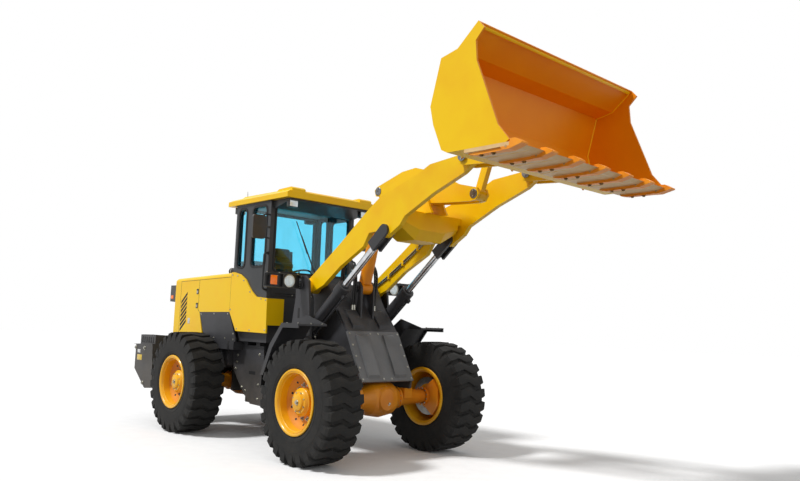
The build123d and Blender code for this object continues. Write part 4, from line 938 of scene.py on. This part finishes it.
# ------------------------------------------------------------------ cab
# each window: name, body, station, y, z, width, height, and the way it faces
WINDOWS = (
    ("windscreen", "rear_body", 30, 0, 2570, 1200, 860, X),
    ("rear_window", "rear_body", -810, 0, 2570, 1200, 860, -X),
    ("quarter_right", "rear_body", -640, -680, 2600, 190, 780, -Y),
    ("quarter_left", "rear_body", -640, 680, 2600, 190, 780, Y),
    ("side_right", "rear_body", -225, -680, 2600, 330, 780, -Y),
    ("door", "cab_door", -260, 675, 2500, 370, 900, Y),
)


class LOADER_OT_cab(bpy.types.Operator):
    """Makes window seals, the wiper, handles, rails and the cab's outer trim"""

    bl_idname = "loader.cab"
    bl_label = "Cab trim"

    def execute(self, context):
        sizes = context.scene.loader_sizes
        fixed, door_seal = some(2)
        for _, body, station, y, z, width, height, out in WINDOWS:
            bm = door_seal if body == "cab_door" else fixed
            centre, across = at(station, y, z) - out * 0.004, Z.cross(out).normalized()
            gasket(bm, centre, across, Z, width / 1000, height / 1000, 0.06, sizes.seal_band, 0.011)
        finish("window_seals", "rear_body", ("seal", fixed))
        finish("door_window_seal", "cab_door", ("seal", door_seal))

        # plates below the windscreen, the seam across them and their bolts
        pale, dark, rail, steel, black = some(5)
        for hand in SIDES:
            block(pale, at(31, hand * 330 - 290, 1830), at(37, hand * 330 + 290, 2105), 0.012)
        block(dark, at(36, -560, 1862), at(40, 560, 1868), 0.001)
        for x in (-300, 0, 300):
            bolt(steel, at(37, x, 2085), X, 12)
            bolt(steel, at(37, x, 1850), X, 12)
        # rubber joint under the roof
        for x in (36, -816):
            block(black, at(x - 6, -672, 3034), at(x + 6, 672, 3049), 0.003)
        for hand in SIDES:
            block(black, at(-812, hand * 683 - 6, 3034), at(30, hand * 683 + 6, 3049), 0.003)
        # grab rails on both front corners of the cab
        for hand in reversed(SIDES):
            run = [
                at(18, hand * 684, 1905),
                at(22, hand * 738, 1905),
                at(24, hand * 742, 1980),
                at(24, hand * 742, 2300),
                at(22, hand * 738, 2372),
                at(18, hand * 684, 2372),
            ]
            pipe(rail, run, sizes.rail_radius)
            for z in (1905, 2372):
                stem(rail, at(18, hand * 681, z), at(18, hand * 687, z), 0.026, sides=20)
        # rail behind the door opening
        run = [(-545, 684, 1500), (-548, 735, 1500), (-548, 738, 1580)]
        run += [(-548, 738, 1980), (-548, 735, 2060), (-545, 684, 2060)]
        pipe(rail, [at(*place) for place in run], sizes.rail_radius)
        # drip rail over the doorway
        block(dark, at(-505, 681, 3018), at(-15, 696, 3028), 0.003)
        # wiper of the windscreen
        pivot, tip = at(36, 60, 2100), at(52, -210, 2640)
        stem(black, pivot, pivot + X * 0.03, 0.022, sides=20, edge=0.003)
        root = pivot + X * 0.018
        slab(black, [root + Y * 0.012, root - Y * 0.012, tip - Y * 0.007, tip + Y * 0.007], X * 0.008, 0.002)
        way = (tip - pivot).normalized()
        low_end, high_end = tip - way * 0.26 - X * 0.006, tip + way * 0.20 - X * 0.006
        pipe(black, [low_end, (low_end + high_end) / 2 + X * 0.003, high_end], 0.0065, smoothness=4)
        # work lamps under the roof's front corners and over its rear edge
        lens_bm, shine = some(2)
        for hand in SIDES:
            y = hand * 575
            for x, z, out in ((372, 2985, 1), (-935, 3000, -1)):
                low_x, high_x = (x - 62, x) if out > 0 else (x, x + 62)
                block(black, at(low_x, y - 68, z - 46), at(high_x, y + 68, z + 46), 0.012)
                block(shine, at(x - 4, y - 56, z - 36), at(x + 4, y + 56, z + 36), 0.003)
                pane = x + out * 5
                block(lens_bm, at(pane - 2, y - 57, z - 37), at(pane + 2, y + 57, z + 37), 0.002)
                stem(steel, at(x - out * 30, y, z + 40), at(x - out * 30, y, z + 66), 0.010, sides=12)
        # antenna and the two round caps at the rear right of the roof
        stem(black, at(-760, -560, 3140), at(-760, -560, 3172), 0.018, 0.012, 16, 0.003)
        stem(steel, at(-760, -560, 3170), at(-768, -561, 3262), 0.006, 0.004, 12)
        for y in (-430, -330):
            knob = ((0, 0), (0, 38), (22, 34), (30, 26), (30, 0))
            lathe(black, knob, at(-800, y, 3141), Z, 28, closed=False)
        plates = (("cab coat", pale), ("seal", dark), ("zinc", steel))
        finish("cab_kick_plates", "rear_body", *plates, slot="frame_grey")
        finish("grab_rails", "rear_body", ("black coat", rail), slot="black_steel")
        trim = (("lamp plastic", black), ("reflector", shine), ("clear lens", lens_bm))
        finish("roof_and_screen_trim", "rear_body", *trim)

        # door handle, lock, hinge bolts and the rubber lip round the door
        grip, lip = some(2)
        run = ((676, 1980), (712, 1985), (716, 2040), (712, 2095), (676, 2100))
        pipe(grip, [at(-75, y, z) for y, z in run], 0.009)
        stem(grip, at(-75, 674, 1935), at(-75, 686, 1935), 0.019, sides=24, edge=0.003)
        for z in (1750, 2220, 2800):
            for x in (-475, -443):
                bolt(grip, at(x, 675, z - 22), Y, 10, washer=False)
        gasket(lip, at(-260, 675, 2260), X * -1, Z, 0.452, 1.492, 0.03, 0.007, 0.004)
        block(lip, at(-470, 675, 1780), at(-50, 678, 1786), 0.001)
        finish("door_handle", "cab_door", ("lamp plastic", grip), ("seal", lip))

        # mirror glass and arms
        glass, arm = some(2)
        for hand in SIDES:
            face = rounded(glass, at(59, hand * 880, 2680), Y * -1, Z, 0.166, 0.276, 0.032)
            grow(glass, [face], X * -0.003)
            for heights in ((2860, 2866, 2800, 2770), (2560, 2556, 2600, 2620)):
                run = zip((14, 30, 44, 54), (681, 760, 830, 862), heights)
                pipe(arm, [at(x, hand * y, z) for x, y, z in run], 0.010)
        finish("mirror_glass", "rear_body", ("mirror", glass))
        finish("mirror_arms", "rear_body", ("black coat", arm))
        return {"FINISHED"}


class LOADER_OT_interior(bpy.types.Operator):
    """Makes the steering wheel, instruments, levers and cab lining"""

    bl_idname = "loader.interior"
    bl_label = "Cab interior"

    def execute(self, context):
        # the wheel's plane leans back towards the seat
        normal = Vector((-0.5, 0, 1)).normalized()
        hub = at(-270, 0, 2120)
        grip, boss, shine = some(3)
        turns = [math.tau * n / 10 for n in range(10)]
        ring = [(8 + 13 * math.sin(turn), 177 + 12.5 * math.cos(turn)) for turn in turns]
        lathe(grip, ring, hub, normal, 56)
        lean = Matrix.Rotation(math.atan2(-0.5, 1), 4, "Y")
        for turn in (90, 210, 330):
            spoke = lean @ Vector((math.cos(math.radians(turn)), math.sin(math.radians(turn)), 0))
            root, tip = hub + normal * 0.004 + spoke * 0.03, hub + normal * 0.010 + spoke * 0.172
            pipe(boss, [root, hub + spoke * 0.1, tip], 0.009)
        column = ((-60, 0), (-60, 20), (-4, 22), (-2, 42), (12, 40), (19, 28), (20, 0))
        lathe(boss, column, hub, normal, 32, closed=False)
        wheel = (("grip", grip), ("cab plastic", boss))
        finish("wheel_rim_and_spokes", "rear_body", *wheel, replaces=("steering_wheel",))
        # instrument pod and its dials on the console
        pod, dial, lever, knob = some(4)
        plate(pod, ((-118, 1985), (-40, 1962), (-34, 2085), (-104, 2098)), -170, Y * 0.34, 0.012)
        for y in (-105, 0, 105):
            spot = at(-113, y, 2046)
            lathe(shine, ((0, 30), (0, 38), (5, 37), (5, 30)), spot, -X, 28)
            lathe(dial, ((0, 0), (0, 31), (2, 31), (2, 0)), spot, -X, 28, closed=False)
        # switch box and hand levers on the right of the seat, and the armrests
        block(pod, at(-640, -560, 1482), at(-300, -400, 1880), 0.02)
        for x in (-400, -455):
            foot = at(x, -470, 1876)
            pipe(lever, [foot, foot + Z * 0.09 + X * 0.01, foot + Z * 0.19 + X * 0.035], 0.007)
            stem(knob, foot + Z * 0.18 + X * 0.033, foot + Z * 0.24 + X * 0.05, 0.020, 0.024, 20, 0.006)
        block(pod, at(-700, -380, 2062), at(-400, -318, 2106), 0.016)
        block(pod, at(-700, 318, 2062), at(-400, 380, 2106), 0.016)
        for hand in SIDES:
            block(lever, at(-705, hand * 349 - 12, 1930), at(-675, hand * 349 + 12, 2070), 0.004)
            inner, outer = sorted((hand * 230, hand * 361))
            block(lever, at(-705, inner, 1930), at(-675, outer, 1955), 0.004)
        # floor mat with ribs, pedals and lining under the roof
        mat, lining = some(2)
        block(mat, at(-755, -625, 1480.3), at(-25, 625, 1488), 0.002)
        for n in range(17):
            block(mat, at(-330, -250 + n * 31, 1487), at(-125, -242 + n * 31, 1490.5))
        pedal_slope = Matrix.Rotation(math.radians(-24), 4, "Y")
        for y, half in ((-175, 34), (175, 34), (110, 30)):
            block(pod, at(-118, y - half, 1560), at(-104, y + half, 1640), 0.006, pedal_slope)
            stem(lever, at(-100, y, 1490), at(-108, y, 1590), 0.008, sides=12)
        block(lining, at(-752, -622, 3022), at(-28, 622, 3045), 0.01)
        finish(
            "cab_fittings",
            "rear_body",
            ("cab plastic", pod),
            ("panel", dial),
            ("zinc", shine),
            ("black coat", lever),
            ("grip", knob),
            ("seal", mat),
            ("panel", lining),
        )
        return {"FINISHED"}


def cushion(name, low, high, lean, rise, seams):
    """A cushion swollen by pressure, its swell capped at rise, drawn in along its sewn seams."""
    bm = bmesh.new()
    block(bm, low, high, 0.035, Matrix.Rotation(lean, 4, "Y"))
    bmesh.ops.recalc_face_normals(bm, faces=bm.faces)
    mesh = bpy.data.meshes.new(name)
    bm.to_mesh(mesh)
    bm.free()
    piece = bpy.data.objects.new(name, mesh)
    bpy.context.scene.collection.objects.link(piece)
    bpy.context.view_layer.objects.active = piece
    for other in bpy.context.selected_objects:
        other.select_set(False)
    piece.select_set(True)
    form = piece.modifiers.new("form", "REMESH")
    form.mode = "VOXEL"
    form.voxel_size = 0.009
    bpy.ops.object.modifier_apply(modifier="form")
    rest = [v.co.copy() for v in piece.data.vertices]
    soft = piece.modifiers.new("soft", "CLOTH")
    soft.settings.quality = 4
    soft.settings.mass = 0.3
    soft.settings.use_pressure = True
    soft.settings.uniform_pressure_force = 4.0
    soft.settings.effector_weights.gravity = 0.0
    scene = bpy.context.scene
    for number in range(1, 21):
        scene.frame_set(number)
    bpy.ops.object.modifier_apply(modifier="soft")
    scene.frame_set(1)
    for vertex, was in zip(piece.data.vertices, rest):
        step = vertex.co - was
        if step.length > rise:
            vertex.co = was + step.normalized() * rise
    axis, places, depth, width = seams
    for vertex in piece.data.vertices:
        for place in places:
            off = abs(vertex.co[axis] - place) / width
            if off < 1.0:
                vertex.co -= vertex.normal * depth * (1 - off * off) ** 2
    fine = piece.modifiers.new("fine", "SUBSURF")
    fine.levels = fine.render_levels = 1
    bpy.ops.object.modifier_apply(modifier="fine")
    for polygon in piece.data.polygons:
        polygon.use_smooth = True
    piece.data.materials.append(FINISH["seat cloth"])
    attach(piece, "rear_body")
    return piece


class LOADER_OT_seat(bpy.types.Operator):
    """Makes the operator's seat: suspension, cushion, backrest and headrest"""

    bl_idname = "loader.seat"
    bl_label = "Seat"

    def execute(self, context):
        rise = context.scene.loader_sizes.cushion_rise
        shell, steel = some(2)
        # suspension with the folds of its bellows, then the pan and the shell of the back
        block(shell, at(-640, -140, 1481), at(-360, 140, 1510), 0.006)
        for n in range(6):
            inset, z = 4 * (n % 2), n * 45
            low, high = at(-632 + inset, -134 + inset, 1512 + z), at(-368 - inset, 134 - inset, 1553 + z)
            block(shell, low, high, 0.014)
        block(shell, at(-690, -215, 1785), at(-290, 215, 1832), 0.02)
        plate(shell, ((-700, 1830), (-672, 1830), (-716, 2500), (-730, 2500)), -190, Y * 0.38, 0.006)
        stem(steel, at(-640, -226, 1790), at(-560, -226, 1790), 0.012, sides=16)
        finish("seat_base", "rear_body", ("cab plastic", shell), ("zinc", steel))
        lean = math.atan2(-65, 520)
        # seams: axis across them, places, depth and half width
        pads = (
            ("seat_cushion", (-672, -212, 1836), (-288, 212, 1916), 0.0, (1, (-0.12, 0.12), 0.012, 0.022)),
            ("seat_back", (-706, -195, 1940), (-634, 195, 2350), lean, (2, (2.05, 2.15, 2.25), 0.010, 0.022)),
            ("seat_headrest", (-722, -125, 2385), (-668, 125, 2530), lean, (1, (0.0,), 0.0, 0.02)),
        )
        pads = [cushion(name, at(*low), at(*high), tip, rise, seams) for name, low, high, tip, seams in pads]
        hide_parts("seat")
        return {"FINISHED"}


# ------------------------------------------------------------------ hood, body and frames
# bolts on both sides: of the grey side panel and lower fairing, then of the fairing behind the cab
PANEL_BOLTS = (
    (-1600, 1580), (-1440, 1264), (-1200, 1264), (-900, 1264),
    (-690, 1256), (-690, 1330), (-860, 1590), (-1230, 1590),
)  # fmt: skip
FAIRING_BOLTS = ((-790, 2110), (-660, 2096), (-800, 1650), (-620, 1400))
# more of them under the right side of the cab
RIGHT_BOLTS = ((-500, 2030), (-330, 1880), (-60, 1790), (50, 1775), (60, 1400), (-300, 1390))
# seams of the hood's side doors, from and to
DOOR_SEAMS = (
    ((-2255, 1296), (-2255, 2052)), ((-1700, 1640), (-1700, 2068)),
    ((-2255, 2052), (-838, 2084)), ((-1700, 1640), (-1652, 1612)),
)  # fmt: skip


class LOADER_OT_body(bpy.types.Operator):
    """Makes the hood's seams, latches, warning bars, cap and clamps, and the panels' bolts"""

    bl_idname = "loader.body"
    bl_label = "Hood and panels"

    def execute(self, context):
        seam, steel, vent, bars, blank = some(5)
        for hand in SIDES:
            face, out = hand * 700, Y * hand
            inside = face - hand
            for (x0, z0), (x1, z1) in DOOR_SEAMS:
                a, b = at(x0, inside, z0), at(x1, inside, z1)
                way = (at(x1, 0, z1) - at(x0, 0, z0)).normalized()
                flank = way.cross(Y) * 0.0025
                slab(seam, [a - flank, b - flank, b + flank, a + flank], out * 0.0018)
            # paddle latches of the side doors
            for x, z in ((-1742, 1700), (-1742, 1900)):
                block(vent, at(x - 28, inside, z - 38), at(x + 28, face + hand * 4, z + 38), 0.003)
                block(steel, at(x - 18, face + hand * 3, z - 26), at(x + 18, face + hand * 7, z + 14), 0.003)
            # warning bars at the rear corner
            for z in range(1325, 1325 + 7 * 66, 66):
                bar = ((-2225, z), (-2225, z + 42), (-2050, z + 177), (-2050, z + 135))
                plate(bars, bar, inside, out * 0.0022)
            bolts(steel, PANEL_BOLTS, face, out, 14)
            bolts(steel, FAIRING_BOLTS + (RIGHT_BOLTS if hand < 0 else ()), hand * 700.6, out, 14)
            # seam between fairing and hood
            plate(seam, ((-824, 1616), (-824, 2143), (-821, 2143), (-821, 1616)), inside, out * 0.0018)
            # small blank plate ahead of the warning bars
            block(blank, at(-1990, inside, 1440), at(-1930, face + hand * 1.5, 1520), 0.0008)
        # top of the hood: two long seams and the filler cap with its grips
        for y in (-330, 330):
            ends = ((-2395, -2.5, 2100.5), (-830, -2.5, 2145.2), (-830, 2.5, 2145.2), (-2395, 2.5, 2100.5))
            slab(seam, [at(x, y + dy, z) for x, dy, z in ends], Z * 0.001)
        lathe(vent, ((0, 0), (0, 62), (24, 62), (30, 56), (30, 0)), at(-2180, 240, 2104), Z, 40, closed=False)
        for spoke in around("Z", 12, first=X):
            grip = at(-2180, 240, 2106) + spoke * 0.060
            block(vent, grip - Vector((0.006, 0.006, 0)), grip + Vector((0.006, 0.006, 0.024)), 0.002)
        # clamp bands of the air cleaner, clamps and end ring of the exhaust
        for x, z in ((-1230, 2290), (-930, 2296)):
            band = ((32, 2138), (32, z), (-30, 2338), (-310, 2338), (-372, z), (-372, 2138))
            slab(steel, [at(x, y, height) for y, height in band], X * 0.022, 0.001)
        for x in (-1400, -1560):
            lathe(steel, ((-9, 49), (-9, 53), (9, 53), (9, 49)), at(x, -250, 2215), X, 32)
        lathe(vent, ((-4, 44), (-4, 54), (6, 54), (6, 44)), at(-1598, -250, 2215), X, 32)
        finish(
            "hood_details",
            "rear_body",
            ("seal", seam),
            ("zinc", steel),
            ("black coat", vent),
            ("seal", bars),
            ("blank plate", blank),
        )

        # grille: a flat sheet with painted shade in its perforations, with two latches and four catches
        # outside
        sheet, ring = some(2)
        low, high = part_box("rear_grille")
        near, far = (high.x - 0.012, -0.588, low.z + 0.042), (high.x - 0.006, 0.588, high.z - 0.042)
        block(sheet, near, far, 0.001)
        for hand in SIDES:
            latch = Vector((low.x - 0.002, hand * 0.605, low.z + 0.12))
            stem(ring, latch, latch + X * 0.012, 0.018, sides=20, edge=0.003)
            for z in (0.2, 0.5):
                near = (low.x - 0.004, hand * 0.612 - 0.012, low.z + z)
                far = (low.x + 0.012, hand * 0.612 + 0.012, low.z + z + 0.07)
                block(ring, near, far, 0.003)
        finish("grille_sheet", "rear_body", ("grille mesh", sheet), ("zinc", ring), slot="black_steel")
        return {"FINISHED"}


HINGE_BOLTS = (
    (-820, 870), (-800, 960), (-780, 1050), (-640, 640), (-560, 600), (-250, 520), (-250, 700), (-250, 1080),
)  # fmt: skip


class LOADER_OT_frames(bpy.types.Operator):
    """Makes the bolts, fittings and anti-slip treads of frames, fenders and counterweight"""

    bl_idname = "loader.frames"
    bl_label = "Frames and counterweight"

    def execute(self, context):
        steel, black, white, yellow, red = some(5)
        for hand in SIDES:
            out = Y * hand
            # bolts of the hinge side plates, and a thin dark plate, painted shade, for the oblong access slot
            bolts(steel, HINGE_BOLTS, hand * 555, out, 24)
            plate(black, ((-480, 820), (-330, 820), (-330, 860), (-480, 860)), hand * 555, out * 0.0015)
            # tank straps
            for x in (-1300, -800):
                block(black, at(x - 20, hand * 699, 1120), at(x + 20, hand * 703, 1232), 0.002)
            # counterweight: dark plates, painted shade, for the louvres of the step box's face, then bolts,
            # reflectors and blank plates
            for x in range(-2800, -2800 + 6 * 72, 72):
                louvre = ((x, 1140), (x + 34, 1140), (x + 34, 1222), (x, 1222))
                plate(black, louvre, hand * 1000.2, out * 0.002, 0.0006)
            bolts(steel, ((-2560, 560), (-2560, 1060), (-2860, 1060)), hand * 1060, out, 36)
            block(yellow, at(-2800, hand * 1059.5, 880), at(-2640, hand * 1062, 960), 0.001)
            block(white, at(-2800, hand * 1059.5, 985), at(-2700, hand * 1062, 1035), 0.001)
            # anti-slip pads on the step boxes
            for y in range(hand * 900 - 92, hand * 900 - 92 + 5 * 38, 38):
                block(black, at(-2840, y, 1249.5), at(-2360, y + 24, 1252.5), 0.0008)
            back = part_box("counterweight")[0].x
            y = hand * 0.82
            block(red, Vector((back - 0.001, y - 0.05, 1.0)), Vector((back + 0.004, y + 0.05, 1.05)), 0.001)
        # towing pin with its handle
        stem(steel, at(-2865, 0, 700), at(-2865, 0, 1125), 0.0205, sides=28, edge=0.002)
        loop = ((0, 1120), (0, 1160), (40, 1185), (50, 1150), (30, 1122))
        pipe(steel, [at(-2865, y, z) for y, z in loop], 0.006)
        finish(
            "rear_frame_fittings",
            "rear_body",
            ("zinc", steel),
            ("seal", black),
            ("blank plate", white),
            ("yellow plate", yellow),
            ("red lens", red),
        )

        front, seal, coat = some(3)
        # the front cover slopes up and back from its foot
        foot = (1625, 875)
        slope = (at(1322, 0, 1432) - at(foot[0], 0, foot[1])).normalized()
        face = slope.cross(Y)
        face = face if face.x > 0 else -face
        for hand in SIDES:
            for n in range(5):
                bolt(front, at(foot[0], hand * 372, foot[1]) + slope * (0.03 + n * 0.143), face, 14)
            for reach in (0.03, 0.602):
                bolt(front, at(foot[0], hand * 60, foot[1]) + slope * reach, face, 14)
            # fender bolts, mud flap and the bolts of its clamping strip
            for x in (1120, 1330):
                for y in (760, 1090):
                    bolt(front, at(x, hand * y, 1496), Z, 16)
            flap = ((701, 908), (709, 908), (700, 760), (692, 760))
            plate(seal, flap, hand * 742, Y * (hand * 0.376), 0.001)
            for n in range(4):
                bolt(front, at(701.5, hand * (790 + n * 95), 925) - X * 0.006, -X, 12)
            # bolts of the tower plates, and thin dark plates, painted shade, for the slots near their top
            bolts(front, ((560, 1160), (880, 1160), (690, 1180), (790, 1180)), hand * 633, Y * hand, 22)
            plate(seal, ((660, 1560), (700, 1560), (700, 1680), (660, 1680)), hand * 633, Y * (hand * 0.0015))
        # grease lines up both inner plates
        for hand in SIDES:
            run = ((1250, 390, 1440), (1190, 396, 1540), (1060, 400, 1700), (960, 401, 1850))
            pipe(coat, [at(x, hand * y, z) for x, y, z in run], 0.005)
        front_looks = (("zinc", front), ("seal", seal), ("black coat", coat))
        finish("front_frame_fittings", "front_body", *front_looks)

        # ladder treads: punched anti-slip strips
        tread = bmesh.new()
        for z in (540, 790, 1040):
            # the ladder's foot stands out from its top
            y = 610 + (1260 - (z - 25)) / 760 * 203
            for n in range(3):
                block(tread, at(-470, y - 52 + n * 38, z - 0.5), at(-150, y - 34 + n * 38, z + 3.5), 0.0012)
        finish("ladder_treads", "rear_body", ("zinc", tread))
        return {"FINISHED"}


class LOADER_OT_lamps(bpy.types.Operator):
    """Makes the head, tail and turn lamps' lenses and reflectors"""

    bl_idname = "loader.lamps"
    bl_label = "Lamps"

    def execute(self, context):
        bowl = ((6, 0), (7, 40), (12, 64), (8, 66), (4, 66), (2, 0))
        dome = ((12, 66), (16, 60), (21, 36), (23, 0), (19, 0), (17, 34), (12, 58), (10, 64))
        shine, clear, amber, ring, steel = some(5)
        for hand in SIDES:
            spot = at(728, hand * 830, 1990)
            lathe(shine, bowl, spot, X, 48, closed=False)
            lathe(clear, dome, spot, X, 48, closed=False)
            lathe(ring, ((8, 65), (17, 66), (19, 70), (17, 76), (0, 78), (0, 74)), spot, X, 48)
            block(amber, at(734, hand * 1045 - 44, 1936), at(744, hand * 1045 + 44, 2044), 0.006)
            for y in (1000, 1090):
                for z in (1941, 2039):
                    bolt(steel, at(743, hand * y, z), X, 6, washer=False)
            for y in (700, 960, 1130):
                bolt(steel, at(720, hand * y, 2075), Z, 14)
        finish(
            "headlamp_lenses",
            "front_body",
            ("reflector", shine),
            ("clear lens", clear),
            ("zinc", ring),
            ("amber lens", amber),
            ("zinc", steel),
        )
        red, turn, white = some(3)
        for hand in SIDES:
            y = hand * 665
            for bm, low, high in ((red, 1768, 1858), (turn, 1864, 1934), (white, 1940, 1990)):
                block(bm, at(-2605, y - 28, low), at(-2598, y + 28, high), 0.005)
            block(turn, at(-2580, hand * 698, 1800), at(-2500, hand * 702, 1850), 0.003)
        lenses = (("red lens", red), ("amber lens", turn), ("clear lens", white))
        finish("tail_lamp_lenses", "rear_body", *lenses)
        return {"FINISHED"}


class LOADER_OT_bucket(bpy.types.Operator):
    """Makes the bucket's tooth pins and bolts, blade joints, weld beads and lip bar"""

    bl_idname = "loader.bucket"
    bl_label = "Bucket details"

    def execute(self, context):
        bar, weld, steel = some(3)
        for n in range(TEETH):
            y = (n - (TEETH - 1) / 2) * TOOTH_PITCH_MM
            for hand in SIDES:
                stem(steel, at(4300, y + hand * 44, 2966), at(4300, y + hand * 47, 2966), 0.011, sides=16)
                bolt(steel, at(4010, y, 2946), -Z, 26)
                bolt(steel, at(4140, y, 2943), -Z, 26)
        # blade joints between the teeth
        for n in range(TEETH - 1):
            y = (n - (TEETH - 2) / 2) * TOOTH_PITCH_MM
            block(weld, at(3860, y - 2, 2968.8), at(4330, y + 2, 2971))
        # stiffening bar along the top lip, inside
        plate(bar, ((3952, 4072), (3972, 4090), (3986, 4076), (3966, 4058)), -1205, Y * 2.41, 0.004)
        # weld beads where the cheeks meet the shell
        line = (
            (3640, 3036), (3596, 3058), (3492, 3292), (3450, 3462), (3560, 3868), (3748, 3906), (3960, 4076),
        )  # fmt: skip
        for hand in SIDES:
            for (x0, z0), (x1, z1) in zip(line, line[1:]):
                stem(weld, at(x0, hand * 1226, z0), at(x1, hand * 1226, z1), 0.007, sides=10)
        looks = (("arm enamel", bar), ("arm enamel", weld), ("wear steel", steel))
        finish("bucket_trim", "bucket", *looks, slot="body_yellow")
        return {"FINISHED"}


# ------------------------------------------------------------------ stage
class LOADER_OT_stage(bpy.types.Operator):
    """Makes the pale floor, the lights and the camera"""

    bl_idname = "loader.stage"
    bl_label = "Stage"

    def execute(self, context):
        scene = context.scene
        bm = bmesh.new()
        bmesh.ops.create_grid(bm, x_segments=1, y_segments=1, size=60.0)
        mesh = bpy.data.meshes.new("floor")
        bm.to_mesh(mesh)
        bm.free()
        floor = bpy.data.objects.new("floor", mesh)
        scene.collection.objects.link(floor)
        # pale screed that throws less light back up than it shows
        material, tree, where = begin("Pale studio floor")
        speck = add(tree, NOISE, {"Vector": where, "Scale": 6.0, "Detail": 2.0})
        pale = add(tree, RAMP, {"Fac": speck}, stops=((0.35, linear("#FCFCFC")), (0.65, linear("#FFFFFF"))))
        bounced = add(tree, RAYS, take="Is Diffuse Ray")
        shade = add(tree, MIX, {0: bounced, 6: pale, 7: linear("#8C8A86")}, 2, data_type="RGBA")
        matt = {"Base Color": shade, "Roughness": 0.9, "Specular IOR Level": 0.0}
        mesh.materials.append(close(material, matt))

        # a white surround for the eye, for glass and for reflections, and a dimmer one for its light
        world = bpy.data.worlds.new("studio")
        scene.world = world
        world.use_nodes = True
        tree = world.node_tree
        tree.nodes.clear()
        seen = add(tree, RAYS, take=None)
        shown = seen["Is Camera Ray"]
        for kind in ("Is Transmission Ray", "Is Glossy Ray"):
            shown = add(tree, MATH, {0: shown, 1: seen[kind]}, operation="MAXIMUM")
        soft, white = (
            add(tree, "ShaderNodeBackground", {"Color": (1.0, 1.0, 1.0, 1.0), "Strength": strength})
            for strength in (0.47, 1.0)
        )
        both = add(tree, "ShaderNodeMixShader", {0: shown, 1: soft, 2: white})
        add(tree, "ShaderNodeOutputWorld", {"Surface": both}, None)

        # soft key from the machine's right, high and a little behind, and a broad fill from ahead
        for name, energy, spread, way in (
            ("key", 2.45, 9.0, Vector((0.30, 0.72, -0.95))),
            ("front fill", 0.3, 40.0, Vector((-0.9, 0.25, -0.35))),
        ):
            lamp = bpy.data.lights.new(name, "SUN")
            lamp.energy = energy
            lamp.angle = math.radians(spread)
            light = bpy.data.objects.new(name, lamp)
            light.rotation_euler = (-way).to_track_quat("Z", "Y").to_euler()
            scene.collection.objects.link(light)

        lens_data = bpy.data.cameras.new("camera")
        lens_data.lens, lens_data.sensor_width = 33.2, 36.0
        camera = bpy.data.objects.new("camera", lens_data)
        scene.collection.objects.link(camera)
        yaw, pitch, roll = math.radians(137.38), math.radians(6.65), math.radians(2.01)
        look = Vector((math.cos(yaw) * math.cos(pitch), math.sin(yaw) * math.cos(pitch), math.sin(pitch)))
        right = Vector((math.sin(yaw), -math.cos(yaw), 0.0))
        up = right.cross(look)
        across = right * math.cos(roll) + up * math.sin(roll)
        over = up * math.cos(roll) - right * math.sin(roll)
        turn = Matrix((across, over, -look)).transposed().to_4x4()
        camera.matrix_world = Matrix.Translation((PIVOT + 7.995, -5.762, 1.502)) @ turn
        scene.camera = camera
        scene.view_settings.view_transform = "Standard"
        return {"FINISHED"}


STEPS = (
    LOADER_OT_finishes,
    LOADER_OT_tyres,
    LOADER_OT_wheels,
    LOADER_OT_axles,
    LOADER_OT_arms,
    LOADER_OT_cylinders,
    LOADER_OT_cab,
    LOADER_OT_interior,
    LOADER_OT_seat,
    LOADER_OT_body,
    LOADER_OT_frames,
    LOADER_OT_lamps,
    LOADER_OT_bucket,
    LOADER_OT_stage,
)


class LOADER_PT_panel(bpy.types.Panel):
    """Sizes, colours and steps of the wheel loader"""

    bl_idname = "LOADER_PT_panel"
    bl_label = "Wheel loader"
    bl_space_type = "VIEW_3D"
    bl_region_type = "UI"
    bl_category = "Loader"

    def draw(self, context):
        layout = self.layout
        for group in (context.scene.loader_colours, context.scene.loader_sizes):
            for key in group.__class__.__annotations__:
                layout.prop(group, key)
        for step in STEPS:
            layout.operator(step.bl_idname)


CLASSES = (LoaderColours, LoaderSizes, *STEPS, LOADER_PT_panel)


def register():
    for cls in CLASSES:
        bpy.utils.register_class(cls)
    bpy.types.Scene.loader_colours = bpy.props.PointerProperty(type=LoaderColours)
    bpy.types.Scene.loader_sizes = bpy.props.PointerProperty(type=LoaderSizes)


def unregister():
    del bpy.types.Scene.loader_sizes
    del bpy.types.Scene.loader_colours
    for cls in reversed(CLASSES):
        bpy.utils.unregister_class(cls)


def main():
    """Runs every step in order."""
    register()
    for step in STEPS:
        group, call = step.bl_idname.split(".")
        getattr(getattr(bpy.ops, group), call)()


if __name__ == "__main__":
    main()
